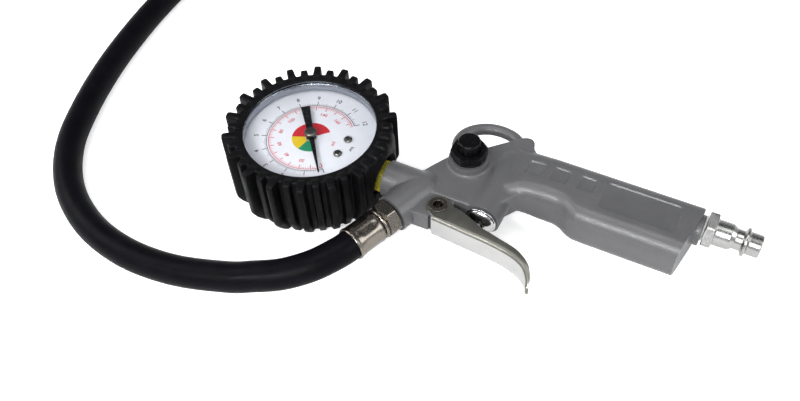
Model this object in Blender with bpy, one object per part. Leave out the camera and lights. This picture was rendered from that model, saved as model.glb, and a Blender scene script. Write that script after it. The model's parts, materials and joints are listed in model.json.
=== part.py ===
"""Hand-held tyre inflator: pistol-grip air gun, dial gauge in a rubber boot, hose and clip-on chuck.

The gun lies flat. The gauge's axis is Z, through the centre of the boot's flat rear face at the
origin. The grip runs along +X, the hanging ring is on the +Y side and the trigger on the -Y side.
Every length below is in millimetres, and MM turns it into Blender's metres where a mesh is made.
"""

import math

import bmesh
import bpy
from mathutils import Matrix, Vector

MM = 0.001
GAP = 0.3  # between two pieces that touch

# Gauge
STEM_Z = 17.0  # height of every air passage's centre line
BOOT_PAIRS = 18  # pairs of one tall and one short tooth
BOOT_TALL = 38.2
BOOT_SHORT = 35.9
BOOT_ROOT = 33.2
BOOT_HEIGHT = 34.0
CASE_RADIUS = 30.9
CASE_WALL = 0.7
CASE_FLOOR = 3.3
CASE_TOP = 32.4
DIAL_TOP = 26.5
DIAL_RADIUS = 29.9
POINTER_REST = math.radians(-51.0)
DIAL_SCREWS = ((15.6, 5.2), (15.6, -3.9))

# Gauge movement: the sector turns an eighth as far as the pinion
PINION_TEETH = 8
GEAR_RATIO = 8
GEAR_CENTRES = 17.0
SECTOR_ANGLE = math.radians(79.5)  # direction from the pointer's axis to the sector's pivot
TAIL_LENGTH = 6.5
TAIL_ANGLE = math.radians(-32.5)
LINK_ANGLE = math.radians(74.2)
LINK_LENGTH = 6.2
LINK_TRAVEL = 3.84

# Gun
VALVE_X = 82.7
VALVE_END_Y = -3.0
PIVOT = (65.4, -8.4)
TRIGGER_LOW = 11.0
TRIGGER_HIGH = 23.0
SHEET = 1.2
BLEED = (66.9, 19.2)
PORT_Y = 0.5
PORT_FACE_X = 37.5
INLET_Y = 31.5
INLET_FACE_X = 165.6
PLATE_LOW = 11.2
PLATE_HIGH = 22.8

# Hose
OUTLET_RIM = (47.9, -16.5, STEM_Z)
OUTLET_HEADING = math.radians(250.0)
FERRULE_START = 8.9
FERRULE_LENGTH = 14.0
SOCKET_DEPTH = 6.0  # how far the hose goes into each ferrule
HOSE_RADIUS = 6.5
HOSE_ROUTE = (
    (38, -43, 17), (31, -53, 16), (21, -61, 14), (10, -66, 12), (-1, -70, 10), (-25, -75.5, 7.5),
    (-50, -76.5, 6.8), (-74, -71, 6.8), (-96, -58, 6.8), (-113, -38, 6.8), (-124, -13, 6.8), (-132, 14, 6.8),
    (-137, 40, 6.8), (-140, 66, 6.8), (-140, 91, 6.8), (-132, 116, 6.8), (-115, 135, 7.2), (-92, 145, 8.2),
)
CHUCK_END = (-76.0, 146.3, 8.8)  # where the hose leaves the chuck's ferrule

FINISHES = {
    "cast_paint": ((0.125, 0.125, 0.13), 0.5, 0.3),
    "black_rubber": ((0.012, 0.012, 0.013), 0.55, 0.0),
    "hose_rubber": ((0.014, 0.014, 0.016), 0.4, 0.0),
    "seal_rubber": ((0.02, 0.02, 0.02), 0.6, 0.0),
    "black_plastic": ((0.01, 0.01, 0.01), 0.3, 0.0),
    "clear_plastic": ((0.9, 0.92, 0.94), 0.05, 0.0),
    "white_print": ((0.85, 0.85, 0.86), 0.45, 0.0),
    "case_steel": ((0.45, 0.46, 0.48), 0.3, 1.0),
    "chrome": ((0.75, 0.76, 0.78), 0.08, 1.0),
    "nickel": ((0.55, 0.52, 0.48), 0.25, 1.0),
    "spring_steel": ((0.35, 0.36, 0.38), 0.35, 1.0),
    "brass": ((0.62, 0.47, 0.13), 0.25, 1.0),
    "zinc_steel": ((0.5, 0.5, 0.49), 0.35, 1.0),
    "ptfe_tape": ((0.9, 0.9, 0.88), 0.8, 0.0),
}


def clear_scene():
    for thing in list(bpy.data.objects):
        bpy.data.objects.remove(thing)


def finish(name):
    """The named material, made on first use."""
    made = bpy.data.materials.get(name)
    if made:
        return made
    colour, roughness, metallic = FINISHES[name]
    made = bpy.data.materials.new(name)
    made.use_nodes = True
    shader = made.node_tree.nodes["Principled BSDF"]
    shader.inputs["Base Color"].default_value = (*colour, 1.0)
    shader.inputs["Roughness"].default_value = roughness
    shader.inputs["Metallic"].default_value = metallic
    return made


def place(thing, parent=None, at=(0, 0, 0), along=(0, 0, 1), spin=0.0):
    """Puts an object's origin at a point, its local Z along a direction and turned about it."""
    bpy.context.scene.collection.objects.link(thing)
    facing = Vector((0, 0, 1)).rotation_difference(Vector(along).normalized())
    thing.rotation_mode = "QUATERNION"
    thing.rotation_quaternion = facing @ Matrix.Rotation(spin, 3, "Z").to_quaternion()
    thing.location = Vector(at) * MM
    thing.parent = parent
    return thing


def empty(name, **where):
    return place(bpy.data.objects.new(name, None), **where)


def solid(name, form, look, sharp=32.0, **where):
    """A named object from a bmesh, shaded smooth across edges flatter than `sharp` degrees."""
    bmesh.ops.recalc_face_normals(form, faces=form.faces)
    mesh = bpy.data.meshes.new(name)
    form.to_mesh(mesh)
    form.free()
    mesh.materials.append(finish(look))
    mesh.shade_smooth()
    mesh.set_sharp_from_angle(angle=math.radians(sharp))
    return place(bpy.data.objects.new(name, mesh), **where)


def shape(thing, other, operation):
    """Adds an exact Boolean, and hides the second object as its tool."""
    change = thing.modifiers.new(other.name, "BOOLEAN")
    change.operation = operation
    change.solver = "EXACT"
    change.object = other
    other.hide_render = True
    other.display_type = "WIRE"


def add(thing, other):
    shape(thing, other, "UNION")


def cut(thing, other):
    shape(thing, other, "DIFFERENCE")


def turned(profile, sides=20):
    """Body of revolution about Z through (radius, height) points, closed along the axis or as a ring."""
    form = bmesh.new()
    points = [form.verts.new((radius * MM, 0, height * MM)) for radius, height in profile]
    edges = [form.edges.new(pair) for pair in zip(points, points[1:])]
    if profile[0][0] > 0:
        edges.append(form.edges.new((points[-1], points[0])))
    bmesh.ops.spin(form, geom=points + edges, axis=(0, 0, 1), cent=(0, 0, 0), angle=math.tau,
                   steps=sides, use_merge=True)
    bmesh.ops.remove_doubles(form, verts=form.verts, dist=1e-7)
    return form


def rod(radius, low, high, sides=16):
    return turned(((0, low), (radius, low), (radius, high), (0, high)), sides)


def ring(inner, outer, low, high, sides=20):
    return turned(((outer, low), (outer, high), (inner, high), (inner, low)), sides)


def o_ring(radius, section, height, sides=16, around=5):
    circle = [math.tau * step / around for step in range(around)]
    return turned([(radius + section * math.cos(a), height + section * math.sin(a)) for a in circle],
                  sides)


def loft(sections):
    """Skin through sections with equal point counts, capped at both ends."""
    form = bmesh.new()
    rows = [[form.verts.new(Vector(point) * MM) for point in section] for section in sections]
    for near, far in zip(rows, rows[1:]):
        for index in range(len(near)):
            after = (index + 1) % len(near)
            form.faces.new((near[index], near[after], far[after], far[index]))
    form.faces.new(rows[0])
    form.faces.new(rows[-1])
    return form


def prism(outline, low, high):
    """Outline in XY, raised from one height to another."""
    return loft([[(x, y, height) for x, y in outline] for height in (low, high)])


def block(low, high):
    outline = ((low[0], low[1]), (high[0], low[1]), (high[0], high[1]), (low[0], high[1]))
    return prism(outline, low[2], high[2])


def polygon(sides, across_flats, low, high, chamfer=0.0):
    """Bar with flat sides along Z, and with its end corners eased."""
    corner = across_flats / 2 / math.cos(math.pi / sides)
    turns = [math.tau * (side + 0.5) / sides for side in range(sides)]
    levels = [(corner, low), (corner, high)]
    if chamfer:
        levels = [(corner - chamfer, low), (corner, low + chamfer / 2),
                  (corner, high - chamfer / 2), (corner - chamfer, high)]
    return loft([[(r * math.cos(t), r * math.sin(t), z) for t in turns] for r, z in levels])


def arc(centre, radius, first, last, steps):
    """Points on a circle between two angles in degrees."""
    turns = [math.radians(first + (last - first) * step / steps) for step in range(steps + 1)]
    return [(centre[0] + radius * math.cos(t), centre[1] + radius * math.sin(t)) for t in turns]


def polar(radius, angle):
    return Vector((radius * math.cos(angle), radius * math.sin(angle)))


def offset_line(points, distance):
    """The polyline moved to its left by a distance."""
    moved = []
    for index, point in enumerate(points):
        before = Vector(points[max(index - 1, 0)])
        after = Vector(points[min(index + 1, len(points) - 1)])
        run = (after - before).normalized()
        moved.append((point[0] - run.y * distance, point[1] + run.x * distance))
    return moved


def smooth_line(points, spacing):
    """Evenly spaced points on a smooth curve through the given ones."""
    knots = [Vector(point) for point in points]
    ends = [2 * knots[0] - knots[1]] + knots + [2 * knots[-1] - knots[-2]]
    fine = []
    for p0, p1, p2, p3 in zip(ends, ends[1:], ends[2:], ends[3:]):
        for step in range(20):
            t = step / 20
            fine.append(p1 + 0.5 * t * (p2 - p0 + t * (2 * p0 - 5 * p1 + 4 * p2 - p3
                                                       + t * (3 * (p1 - p2) + p3 - p0))))
    fine.append(knots[-1])
    lengths = [0.0]
    for before, after in zip(fine, fine[1:]):
        lengths.append(lengths[-1] + (after - before).length)
    count = max(2, round(lengths[-1] / spacing))
    spread, index = [], 0
    for step in range(count + 1):
        goal = lengths[-1] * step / count
        while index < len(fine) - 2 and lengths[index + 1] < goal:
            index += 1
        part = (goal - lengths[index]) / (lengths[index + 1] - lengths[index])
        spread.append(fine[index].lerp(fine[index + 1], min(part, 1.0)))
    return spread


def wire(name, points, radius, look, rounding=2, **where):
    """Round bar along points, as a curve with filled ends."""
    path = bpy.data.curves.new(name, "CURVE")
    path.dimensions = "3D"
    path.bevel_depth = radius * MM
    path.bevel_resolution = rounding
    path.use_fill_caps = True
    line = path.splines.new("POLY")
    line.points.add(len(points) - 1)
    for knot, point in zip(line.points, points):
        knot.co = (*(Vector(point) * MM), 1.0)
    path.materials.append(finish(look))
    return place(bpy.data.objects.new(name, path), **where)


def coil(radius, low, high, turns, steps=10):
    """Points of a helix about Z."""
    count = round(turns * steps)
    return [(*polar(radius, math.tau * step / steps), low + (high - low) * step / count)
            for step in range(count + 1)]


# ---------------------------------------------------------------- gauge


def boot_form():
    """Cup with tall and short teeth: each tooth has four points round the rim at every level."""
    rise, half = 0.9, 2.5  # degrees across a tooth's flank, and across half its tip
    levels = (  # height, tall tip, short tip, root
        (0.0, 32.6, 32.4, 32.0),
        (0.8, 33.4, 33.0, 32.4),
        (9.0, BOOT_TALL, BOOT_SHORT, 32.7),
        (33.2, BOOT_TALL, BOOT_SHORT, BOOT_ROOT),
        (BOOT_HEIGHT, BOOT_TALL - 0.8, BOOT_SHORT - 0.8, 32.6),
        (BOOT_HEIGHT, 31.8, 31.8, 31.8),
        (33.4, 27.9, 27.9, 27.9),
        (CASE_TOP + GAP, 27.9, 27.9, 27.9),
        (CASE_TOP + GAP, CASE_RADIUS + GAP, CASE_RADIUS + GAP, CASE_RADIUS + GAP),
        (CASE_FLOOR - GAP, CASE_RADIUS + GAP, CASE_RADIUS + GAP, CASE_RADIUS + GAP),
    )
    sections = []
    for height, tall, short, root in levels:
        section = []
        for tooth in range(2 * BOOT_PAIRS):
            centre = 15.0 + 180.0 * tooth / BOOT_PAIRS
            tip = short if tooth % 2 else tall
            for turn, radius in ((-half - rise, root), (-half, tip), (half, tip), (half + rise, root)):
                section.append((*polar(radius, math.radians(centre + turn)), height))
        sections.append(section)
    return loft(sections)


def gauge_boot():
    boot = solid("gauge_boot", boot_form(), "black_rubber")
    cut(boot, solid("boot_stem_opening", rod(8.8, 27.0, 46.0, 24), "black_rubber",
                    at=(0, PORT_Y, STEM_Z), along=(1, 0, 0), spin=0.06))


def gauge_case():
    inner = CASE_RADIUS - CASE_WALL
    case = solid("gauge_case", turned((
        (0, CASE_FLOOR), (CASE_RADIUS - 1, CASE_FLOOR), (CASE_RADIUS, CASE_FLOOR + 1),
        (CASE_RADIUS, CASE_TOP), (inner, CASE_TOP), (inner, CASE_FLOOR + 1.2),
        (0, CASE_FLOOR + 1.2)), 32), "case_steel")
    cut(case, solid("case_stem_opening", rod(7.6, 24.0, 40.0), "case_steel",
                    at=(0, PORT_Y, STEM_Z), along=(1, 0, 0)))
    inner_edge = DIAL_RADIUS - 0.9
    solid("bezel_ring", ring(inner_edge, DIAL_RADIUS, DIAL_TOP + GAP, 30.9, 32), "case_steel")
    solid("gauge_lens", rod(DIAL_RADIUS, 31.2, CASE_TOP, 32), "clear_plastic")


def gauge_socket():
    """Brass block that carries the tube and the movement, and its threaded stem."""
    socket = solid("gauge_socket", block((13.0, -6.5, 13.0), (29.4, 6.5, 21.0)), "brass")
    stem = ((0, 28.0), (7.2, 28.0), (7.2, 33.0), (4.8, 33.0), (4.8, 46.0), (4.2, 46.6), (0, 46.6))
    add(socket, solid("socket_stem", turned(stem), "brass", at=(0, PORT_Y, STEM_Z), along=(1, 0, 0)))
    add(socket, solid("socket_hex", polygon(6, 14.0, 32.6, 37.2, 0.8), "brass",
                      at=(0, PORT_Y, STEM_Z), along=(1, 0, 0)))
    for index, (x, y) in enumerate(DIAL_SCREWS, 1):
        add(socket, solid(f"dial_post_{index}", rod(2.3, 20.0, DIAL_TOP - 0.6 - GAP), "brass", at=(x, y, 0),
                          spin=0.1 * index))
        cut(socket, solid(f"dial_post_bore_{index}", rod(1.2, 21.6, 28.0, 12), "brass", at=(x, y, 0)))
    for index, y in enumerate((-3.5, 3.5), 1):
        cut(socket, solid(f"base_screw_bore_{index}", rod(1.2, 12.0, 16.5, 12), "brass", at=(18, y, 0)))


def bourdon_tube():
    """Flattened tube bent round the case, from the socket's side to the tip that pulls the link."""
    half_high, inner, outer = 4.0, 22.7, 25.3
    section = ((inner, -3.2), (inner + 0.8, -half_high), (outer - 0.8, -half_high), (outer, -3.2),
               (outer, 3.2), (outer - 0.8, half_high), (inner + 0.8, half_high), (inner, 3.2))
    first, last, steps = math.radians(-18.8), math.radians(-297.5), 28
    sections = []
    for step in range(steps + 1):
        angle = first + (last - first) * step / steps
        sections.append([(*polar(radius, angle), STEM_Z + height) for radius, height in section])
    solid("bourdon_tube", loft(sections), "brass")


def tube_tip(tip_pin):
    """Cap on the tube's end, with a lug over the sector's tail and the pin that the link hangs on."""
    near, far = math.radians(54.5), math.radians(61.8)
    steps = 4
    turns = [near + (far - near) * step / steps for step in range(steps + 1)]

    def sector_block(inner, outer, low, high):
        outline = [tuple(polar(outer, turn)) for turn in turns]
        outline += [tuple(polar(inner, turn)) for turn in reversed(turns)]
        return prism(outline, low, high)

    tip = solid("tube_tip", sector_block(22.5, 25.4, 13.2, 20.6), "brass")
    add(tip, solid("tip_lug", sector_block(20.2, 23.0, 18.2, 20.5), "brass"))
    add(tip, solid("tip_pin", rod(0.55, 20.0, 22.6, 12), "brass", at=(*tip_pin, 0)))


def gear_outline(teeth, pitch_radius, module, first, last):
    """Trapezoid teeth from the first tooth number to the last, as points along the toothed arc."""
    tip, root = pitch_radius + 0.75 * module, pitch_radius - 1.05 * module
    pitch = math.tau / teeth
    points = []
    for tooth in range(first, last + 1):
        for radius, share in ((root, -0.27), (tip, -0.10), (tip, 0.10), (root, 0.27)):
            points.append(tuple(polar(radius, (tooth + share) * pitch)))
    return points


def movement(sector_axis, link_axis):
    module = 2 * GEAR_CENTRES / (PINION_TEETH * (1 + GEAR_RATIO))
    pinion_radius = module * PINION_TEETH / 2
    sector_radius = GEAR_CENTRES - pinion_radius
    pivot = polar(GEAR_CENTRES, SECTOR_ANGLE)
    tail = Vector(polar(TAIL_LENGTH, TAIL_ANGLE))

    # Pinion: one tooth space faces the sector's pivot, where a sector tooth sits.
    arbor = solid("pinion_arbor", turned((
        (0, 12.2), (0.5, 12.2), (0.5, 15.0), (1.3, 15.0), (1.3, 19.0), (1.3, 20.4), (0.6, 20.4),
        (0.6, 29.3), (0, 29.3)), 12), "brass", parent=bpy.data.objects["pointer_axis"])
    leaves = gear_outline(PINION_TEETH, pinion_radius, module, 0, PINION_TEETH - 1)
    add(arbor, solid("pinion_leaves", prism(leaves, 15.8, 17.8), "brass", spin=SECTOR_ANGLE
                     + math.pi / PINION_TEETH, parent=bpy.data.objects["pointer_axis"]))

    # Sector: its own angles are counted from the line through both axes.
    mesh_line = SECTOR_ANGLE + math.pi
    teeth = gear_outline(PINION_TEETH * GEAR_RATIO, sector_radius, module, -7, 1)
    edge = teeth[-1]
    outline = teeth + [(edge[0] * 0.8, edge[1] * 0.8), (2.4, 1.8), (1.2, 2.3), (-1.6, 2.2)]
    outline += [(-2.6, -0.4), (-1.6, -2.4), (teeth[0][0] * 0.8, teeth[0][1] * 0.8)]
    sector = solid("sector_gear", prism(outline, 16.2, 17.4), "brass", parent=sector_axis, spin=mesh_line)
    side = Vector((-tail.y, tail.x)).normalized() * 1.7
    end = tail * 1.22
    bar = [tuple(side), tuple(-side), tuple(end - side), tuple(end + side)]
    add(sector, solid("sector_tail", prism(bar, 16.25, 17.35), "brass", parent=sector_axis))
    add(sector, solid("sector_staff", rod(0.6, 12.2, 21.9, 12), "brass", parent=sector_axis))
    cut(sector, solid("tail_hole", rod(0.95, 15.0, 19.0, 16), "brass", parent=sector_axis,
                      at=(tail.x, tail.y, 0)))

    # Link: obround strip with a slot round the tip pin and a pin of its own through the tail.
    half = 1.5
    strip = arc((0, 0), half, 90, 270, 6) + arc((LINK_LENGTH, 0), half, -90, 90, 6)
    link = solid("movement_link", prism(strip, 21.3, 22.0), "brass", parent=link_axis, spin=LINK_ANGLE)
    slot_start = LINK_LENGTH - LINK_TRAVEL
    slot = arc((slot_start, 0), 0.9, 90, 270, 6) + arc((LINK_LENGTH, 0), 0.9, -90, 90, 6)
    cut(link, solid("link_slot", prism(slot, 20.5, 23.0), "brass", parent=link_axis, spin=LINK_ANGLE))
    add(link, solid("link_pin", rod(0.55, 15.6, 21.8, 12), "brass", parent=link_axis))

    # Plates and the pillars between them.
    base = [(-17, -9.5), (-4, -15), (9, -14.5), (24, -6.3), (24, 6.3), (10, 12), (5.5, 20.5), (-14, 18)]
    cover = [(-16.5, -9), (-4, -14), (10, -13.5), (11, -8), (5.0, 2), (5.4, 18.8), (1, 20.3), (-14.5, 17.5)]
    plates = (("movement_base", base, 11.4, 12.5), ("movement_cover", cover, 21.3, 22.3))
    for name, outline, low, high in plates:
        plate = solid(name, prism(outline, low, high), "brass")
        for index, (x, y) in enumerate(((0, 0), tuple(pivot)), 1):
            cut(plate, solid(f"{name}_hole_{index}", rod(0.95, 10.0, 24.0, 16), "brass", at=(x, y, 0)))
        if name == "movement_base":
            for index, y in enumerate((-3.5, 3.5), 1):
                cut(plate, solid(f"base_hole_{index}", rod(1.2, 10.0, 14.0, 12), "brass", at=(18, y, 0)))
    for index, (x, y) in enumerate(((-13, -6), (-12.3, 14.6), (7.6, -11)), 1):
        solid(f"movement_pillar_{index}", rod(1.5, 12.8, 21.0, 12), "brass", at=(x, y, 0))
    for index, y in enumerate((-3.5, 3.5), 1):
        screw = ((0, 10.0), (1.8, 10.0), (1.8, 11.1), (0.85, 11.1), (0.85, 16.0), (0, 16.0))
        solid(f"movement_screw_{index}", turned(screw, 12), "nickel", at=(18, y, 0))

    # Hairspring round the pinion's collet.
    start, end, turns, steps = 1.9, 6.2, 3.5, 50
    sections = []
    for step in range(steps + 1):
        middle = start + (end - start) * step / steps
        angle = math.tau * turns * step / steps
        sections.append([(*polar(middle + dr, angle), height)
                         for dr, height in ((-0.12, 19.0), (0.12, 19.0), (0.12, 20.0), (-0.12, 20.0))])
    solid("hairspring", loft(sections), "spring_steel")


def dial_and_pointer(pointer_axis):
    dial = solid("gauge_dial", ring(2.2, DIAL_RADIUS, DIAL_TOP - 0.6, DIAL_TOP, 32), "white_print")
    for index, (x, y) in enumerate(DIAL_SCREWS, 1):
        cut(dial, solid(f"dial_hole_{index}", rod(1.25, 25.0, 28.0, 12), "white_print", at=(x, y, 0)))
        screw = ((0, 22.2), (0.85, 22.2), (0.85, DIAL_TOP + GAP), (1.85, DIAL_TOP + GAP),
                 (1.85, 27.4), (1.5, 27.8), (0, 27.8))
        solid(f"dial_screw_{index}", turned(screw, 16), "nickel", at=(x, y, 0))
    blade = [(22.6, -0.3), (22.6, 0.3), (2.6, 1.1), (-2.6, 1.35), (-17.6, 2.05), (-17.6, -2.05),
             (-2.6, -1.35), (2.6, -1.1)]
    pointer = solid("gauge_pointer", prism(blade, 28.0, 28.6), "black_plastic", parent=pointer_axis,
                    spin=POINTER_REST)
    add(pointer, solid("pointer_hub", rod(2.0, 27.4, 28.7, 24), "black_plastic", parent=pointer_axis))
    cut(pointer, solid("pointer_bore", rod(0.9, 26.0, 30.0, 12), "black_plastic", parent=pointer_axis))
    cap = ((0, 29.7), (0.95, 29.7), (0.95, 29.0), (2.85, 29.0), (2.85, 30.0), (2.4, 30.6), (0, 30.6))
    solid("pointer_cap", turned(cap, 20), "black_plastic", parent=pointer_axis)


# ---------------------------------------------------------------- gun


def grip_sections():
    """Rounded sections along X, from inside the head to the slanted end face."""
    # x, lowest y, highest y, half thickness
    stations = ((86, 6, 37.5, 7.6), (91, 11.0, 36.9, 8.6), (96, 11.7, 36.5, 9.6), (102, 11.7, 36.4, 10.0),
                (109, 11.6, 36.4, 10.0), (112, 10.6, 36.4, 10.0), (115, 8.6, 36.4, 10.0),
                (118, 7.3, 36.4, 10.0), (122, 7.1, 36.4, 10.0), (141, 7.1, 36.4, 10.0),
                (159.5, 7.2, 36.3, 9.9), (160.6, 7.6, 35.8, 9.4))
    slant_from, slant = 141.0, 0.16
    sections = []
    for x, low, high, half in stations:
        corner = min(6.5, half - 1.5)
        left, right = low + corner, high - corner
        under, over = STEM_Z - half + corner, STEM_Z + half - corner
        section = []
        for quarter, centre in enumerate(((right, over), (left, over), (left, under), (right, under))):
            section += arc(centre, corner, 90 * quarter, 90 * quarter + 90, 5)
        share = max(0.0, min(1.0, (x - slant_from) / (160.6 - slant_from)))
        sections.append([(x + share * slant * (y - low), y, z) for y, z in section])
    return sections


def gun_body():
    """One casting: head plate, cylinders for the air passages, grip, hanging ring and lug."""
    head = [(50.5, -7), (56, -5), (58, -3), (75.5, -3), (84, -1), (93, 12), (96, 20), (95, 34.6),
            (92.4, 35.9), (90.0, 37.8), (89.0, 39.6), (88.6, 41.8), (87.2, 43.3), (85.0, 43.7),
            (82.5, 42.5), (77, 37), (69, 29), (57.5, 18.5), (51, 6.5)]
    body = solid("gun_body", prism(head, PLATE_LOW, PLATE_HIGH), "cast_paint")
    add(body, solid("grip", loft(grip_sections()), "cast_paint"))
    heading = (*polar(1, OUTLET_HEADING), 0)
    add(body, solid("outlet_barrel", turned(((0, -22), (7.6, -22), (8.25, -20), (8.25, -0.5), (7.8, 0), (0, 0))),
                    "cast_paint", at=OUTLET_RIM, along=heading))
    add(body, solid("port_barrel", turned(((0, 0), (7.7, 0), (8.1, 0.4), (8.1, 15), (0, 15))), "cast_paint",
                    at=(PORT_FACE_X, PORT_Y, STEM_Z), along=(1, 0, 0)))
    barrel = ((0, 0), (7.2, 0), (7.9, 0.7), (7.9, 28), (7.0, 34), (5.0, 38.5), (0, 38.5))
    add(body, solid("valve_barrel", turned(barrel), "cast_paint", at=(VALVE_X, VALVE_END_Y, STEM_Z),
                    along=(0, 1, 0)))
    lug = [(55.5, -14.8), (63.9, -14.8), (63.9, -13.2)] + arc(PIVOT, 5.0, -75, 0, 5)
    lug += [(70.6, -2.0), (56, -2.0), (50.5, -9)]
    add(body, solid("pivot_lug", prism(lug, 12.5, 21.5), "cast_paint"))
    add(body, solid("bleed_boss", rod(8.6, 18.0, 26.0), "cast_paint", at=(*BLEED, 0)))
    add(body, solid("inlet_boss", rod(6.6, 155.0, INLET_FACE_X), "cast_paint", at=(0, INLET_Y - 1.8, STEM_Z),
                    along=(1, 0, 0)))
    ring_route = ((60.5, 24.5), (57.4, 28.5), (55.8, 33.2), (56.4, 38.0), (59.2, 42.2), (63.4, 45.2),
                  (68.2, 46.7), (73.0, 46.8), (78.0, 45.5), (83.0, 42.0))
    line = smooth_line([(x, y, STEM_Z) for x, y in ring_route], 3.5)
    add(body, hook_ring(line, 2.6))
    bores(body, heading)


def hook_ring(line, radius, around=8):
    sections = []
    for index, point in enumerate(line):
        run = (line[min(index + 1, len(line) - 1)] - line[max(index - 1, 0)]).normalized()
        side = Vector((run.y, -run.x, 0))
        sections.append([point + radius * (side * math.cos(math.tau * k / around)
                                           + Vector((0, 0, 1)) * math.sin(math.tau * k / around))
                         for k in range(around)])
    return solid("hook_ring", loft(sections), "cast_paint")


def bores(body, heading):
    """Air passages and the seats of everything that screws in."""
    def bore(name, radius, low, high, at, along, sides=16):
        # Each bore is turned a little, so that crossing bores share no edges.
        spin = 0.05 + 0.013 * len(body.modifiers)
        cut(body, solid(name, rod(radius, low, high, sides), "cast_paint", at=at, along=along, spin=spin))

    bore("outlet_bore", 5.2, -12, 2, OUTLET_RIM, heading)
    bore("outlet_passage", 3.0, -36, -11, OUTLET_RIM, heading, 16)
    bore("port_bore", 5.1, -1, 12, (PORT_FACE_X, PORT_Y, STEM_Z), (1, 0, 0))
    bore("valve_bore", 5.2, -4, 37, (VALVE_X, VALVE_END_Y, STEM_Z), (0, 1, 0))
    bore("cross_passage", 1.8, 0, 24, (56.5, 18.5, STEM_Z), (1, 0, 0), 12)
    bore("bleed_bore", 3.6, 15.8, 28, (*BLEED, 0), (0, 0, 1))
    bore("inlet_passage", 3.0, 84, 154, (0, INLET_Y, STEM_Z), (1, 0, 0), 16)
    bore("inlet_bore", 4.3, 152, 170, (0, INLET_Y, STEM_Z), (1, 0, 0))
    bore("pivot_bore", 3.3, 10, 24, (*PIVOT, 0), (0, 0, 1))


def trigger(pivot_axis):
    """Stamped channel: a curved finger face between two cheeks that straddle the lug."""
    face = [(65.5, -15.5), (79, -16.5), (92, -17.5), (101, -19), (107, -21.5), (110.5, -25), (112, -29)]
    inside = offset_line(face, SHEET)
    back = [inside[-1], inside[-2], (109.5, -20.5), (105, -16.5), (98.5, -14), (89, -12), (77.5, -7.5),
            (72.5, -6.5)]
    outline = face + back + arc(PIVOT, 5.0, 25, 232, 10)
    local = [(x - PIVOT[0], y - PIVOT[1]) for x, y in outline]
    lever = solid("trigger", prism(local, TRIGGER_LOW, TRIGGER_HIGH), "zinc_steel", parent=pivot_axis)
    hollow = [(x - PIVOT[0], y - PIVOT[1]) for x, y in inside[:-1]]
    hollow[0] = (hollow[0][0] - 8, hollow[0][1] + 0.5)
    hollow += [(50, 0), (50, 20), (-14, 20)]
    cut(lever, solid("channel", prism(hollow, TRIGGER_LOW + SHEET, TRIGGER_HIGH - SHEET), "zinc_steel",
                     parent=pivot_axis))
    cut(lever, solid("cheek_holes", rod(3.3, 5, 30), "zinc_steel", parent=pivot_axis))
    rivet = ((2.1, 10.4), (3.9, 10.4), (3.9, 10.7), (3.0, 10.7), (3.0, 23.3), (3.9, 23.3), (3.9, 23.6),
             (2.1, 23.6))
    solid("trigger_rivet", turned(rivet, 16), "nickel", at=(*PIVOT, 0))


def valve(plunger_axis):
    """Plug, plunger, seat, poppet and spring along the valve's bore, all turned about its axis."""
    axis = {"at": (VALVE_X, VALVE_END_Y, STEM_Z), "along": (0, 1, 0)}
    plug = ((1.9, -3.5), (3.2, -3.3), (5.4, -2.4), (6.2, -1.7), (6.85, -1.4), (6.85, -0.3), (4.9, -0.3),
            (4.9, 10.0), (1.9, 10.0))
    solid("valve_plug", turned(plug), "chrome", **axis)
    solid("valve_seat", ring(2.6, 4.9, 23.9, 25.4), "brass", **axis)
    solid("seat_seal", o_ring(3.9, 0.6, 23.0), "seal_rubber", **axis)
    rest = {"parent": plunger_axis}
    solid("valve_plunger", turned(((0, -12.4), (1.1, -12.4), (1.5, -12.0), (1.5, 25.2), (0, 25.2)), 16),
          "chrome", **rest)
    solid("valve_poppet", turned(((0, 25.7), (4.3, 25.7), (4.3, 28.6), (2.4, 29.4), (0, 29.4)), 20),
          "brass", **rest)
    wire("valve_spring", coil(3.7, 29.4, 36.3, 3.5), 0.4, "spring_steel", 0, **axis)


def bleed_valve(button_axis):
    collar = solid("bleed_base", polygon(6, 14.0, 26.3, 31.0, 1.0), "black_plastic", at=(*BLEED, 0))
    add(collar, solid("bleed_shank", rod(3.3, 21.5, 27.0), "black_plastic", at=(*BLEED, 0)))
    cut(collar, solid("button_well", rod(5.15, 27.5, 33.0), "black_plastic", at=(*BLEED, 0)))
    cut(collar, solid("stem_well", rod(1.6, 20.0, 29.0, 16), "black_plastic", at=(*BLEED, 0)))
    cap = ((0, 20.9), (1.2, 20.9), (1.2, 33.4), (3.7, 33.4), (3.7, 29.9), (4.8, 29.9), (4.8, 35.3),
           (4.3, 35.9), (0, 36.1))
    solid("bleed_button", turned(cap), "black_plastic", parent=button_axis)
    solid("bleed_seal", turned(((0, 19.6), (2.3, 19.6), (2.3, 20.6), (0, 20.6)), 16), "seal_rubber",
          parent=button_axis)
    wire("bleed_spring", coil(2.6, 28.1, 32.8, 3), 0.35, "spring_steel", 0, at=(*BLEED, 0))


def inlet_nipple():
    """Plug for the air line: hexagon, barrel, and the grooved nose that a coupler grips."""
    axis = {"at": (INLET_FACE_X, INLET_Y, STEM_Z), "along": (1, 0, 0)}
    nose = ((2.4, -11.0), (4.0, -11.0), (4.0, 1.0), (6.4, 1.0), (6.4, 4.6), (5.5, 5.0), (5.5, 10.9),
            (4.3, 12.8), (4.3, 15.6), (6.1, 16.4), (6.1, 17.3), (4.8, 17.9), (4.8, 22.6), (4.4, 23.0),
            (2.4, 23.0))
    nipple = solid("inlet_nipple", turned(nose), "chrome", **axis)
    hexagon = solid("nipple_hexagon", polygon(6, 14.0, 0.9, 4.7, 0.9), "chrome", **axis)
    cut(hexagon, solid("hexagon_bore", rod(5.0, -1, 8), "chrome", **axis))
    add(nipple, hexagon)
    solid("nipple_tape", ring(4.3, 5.4, 0.2, 0.7), "ptfe_tape", **axis)


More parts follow.
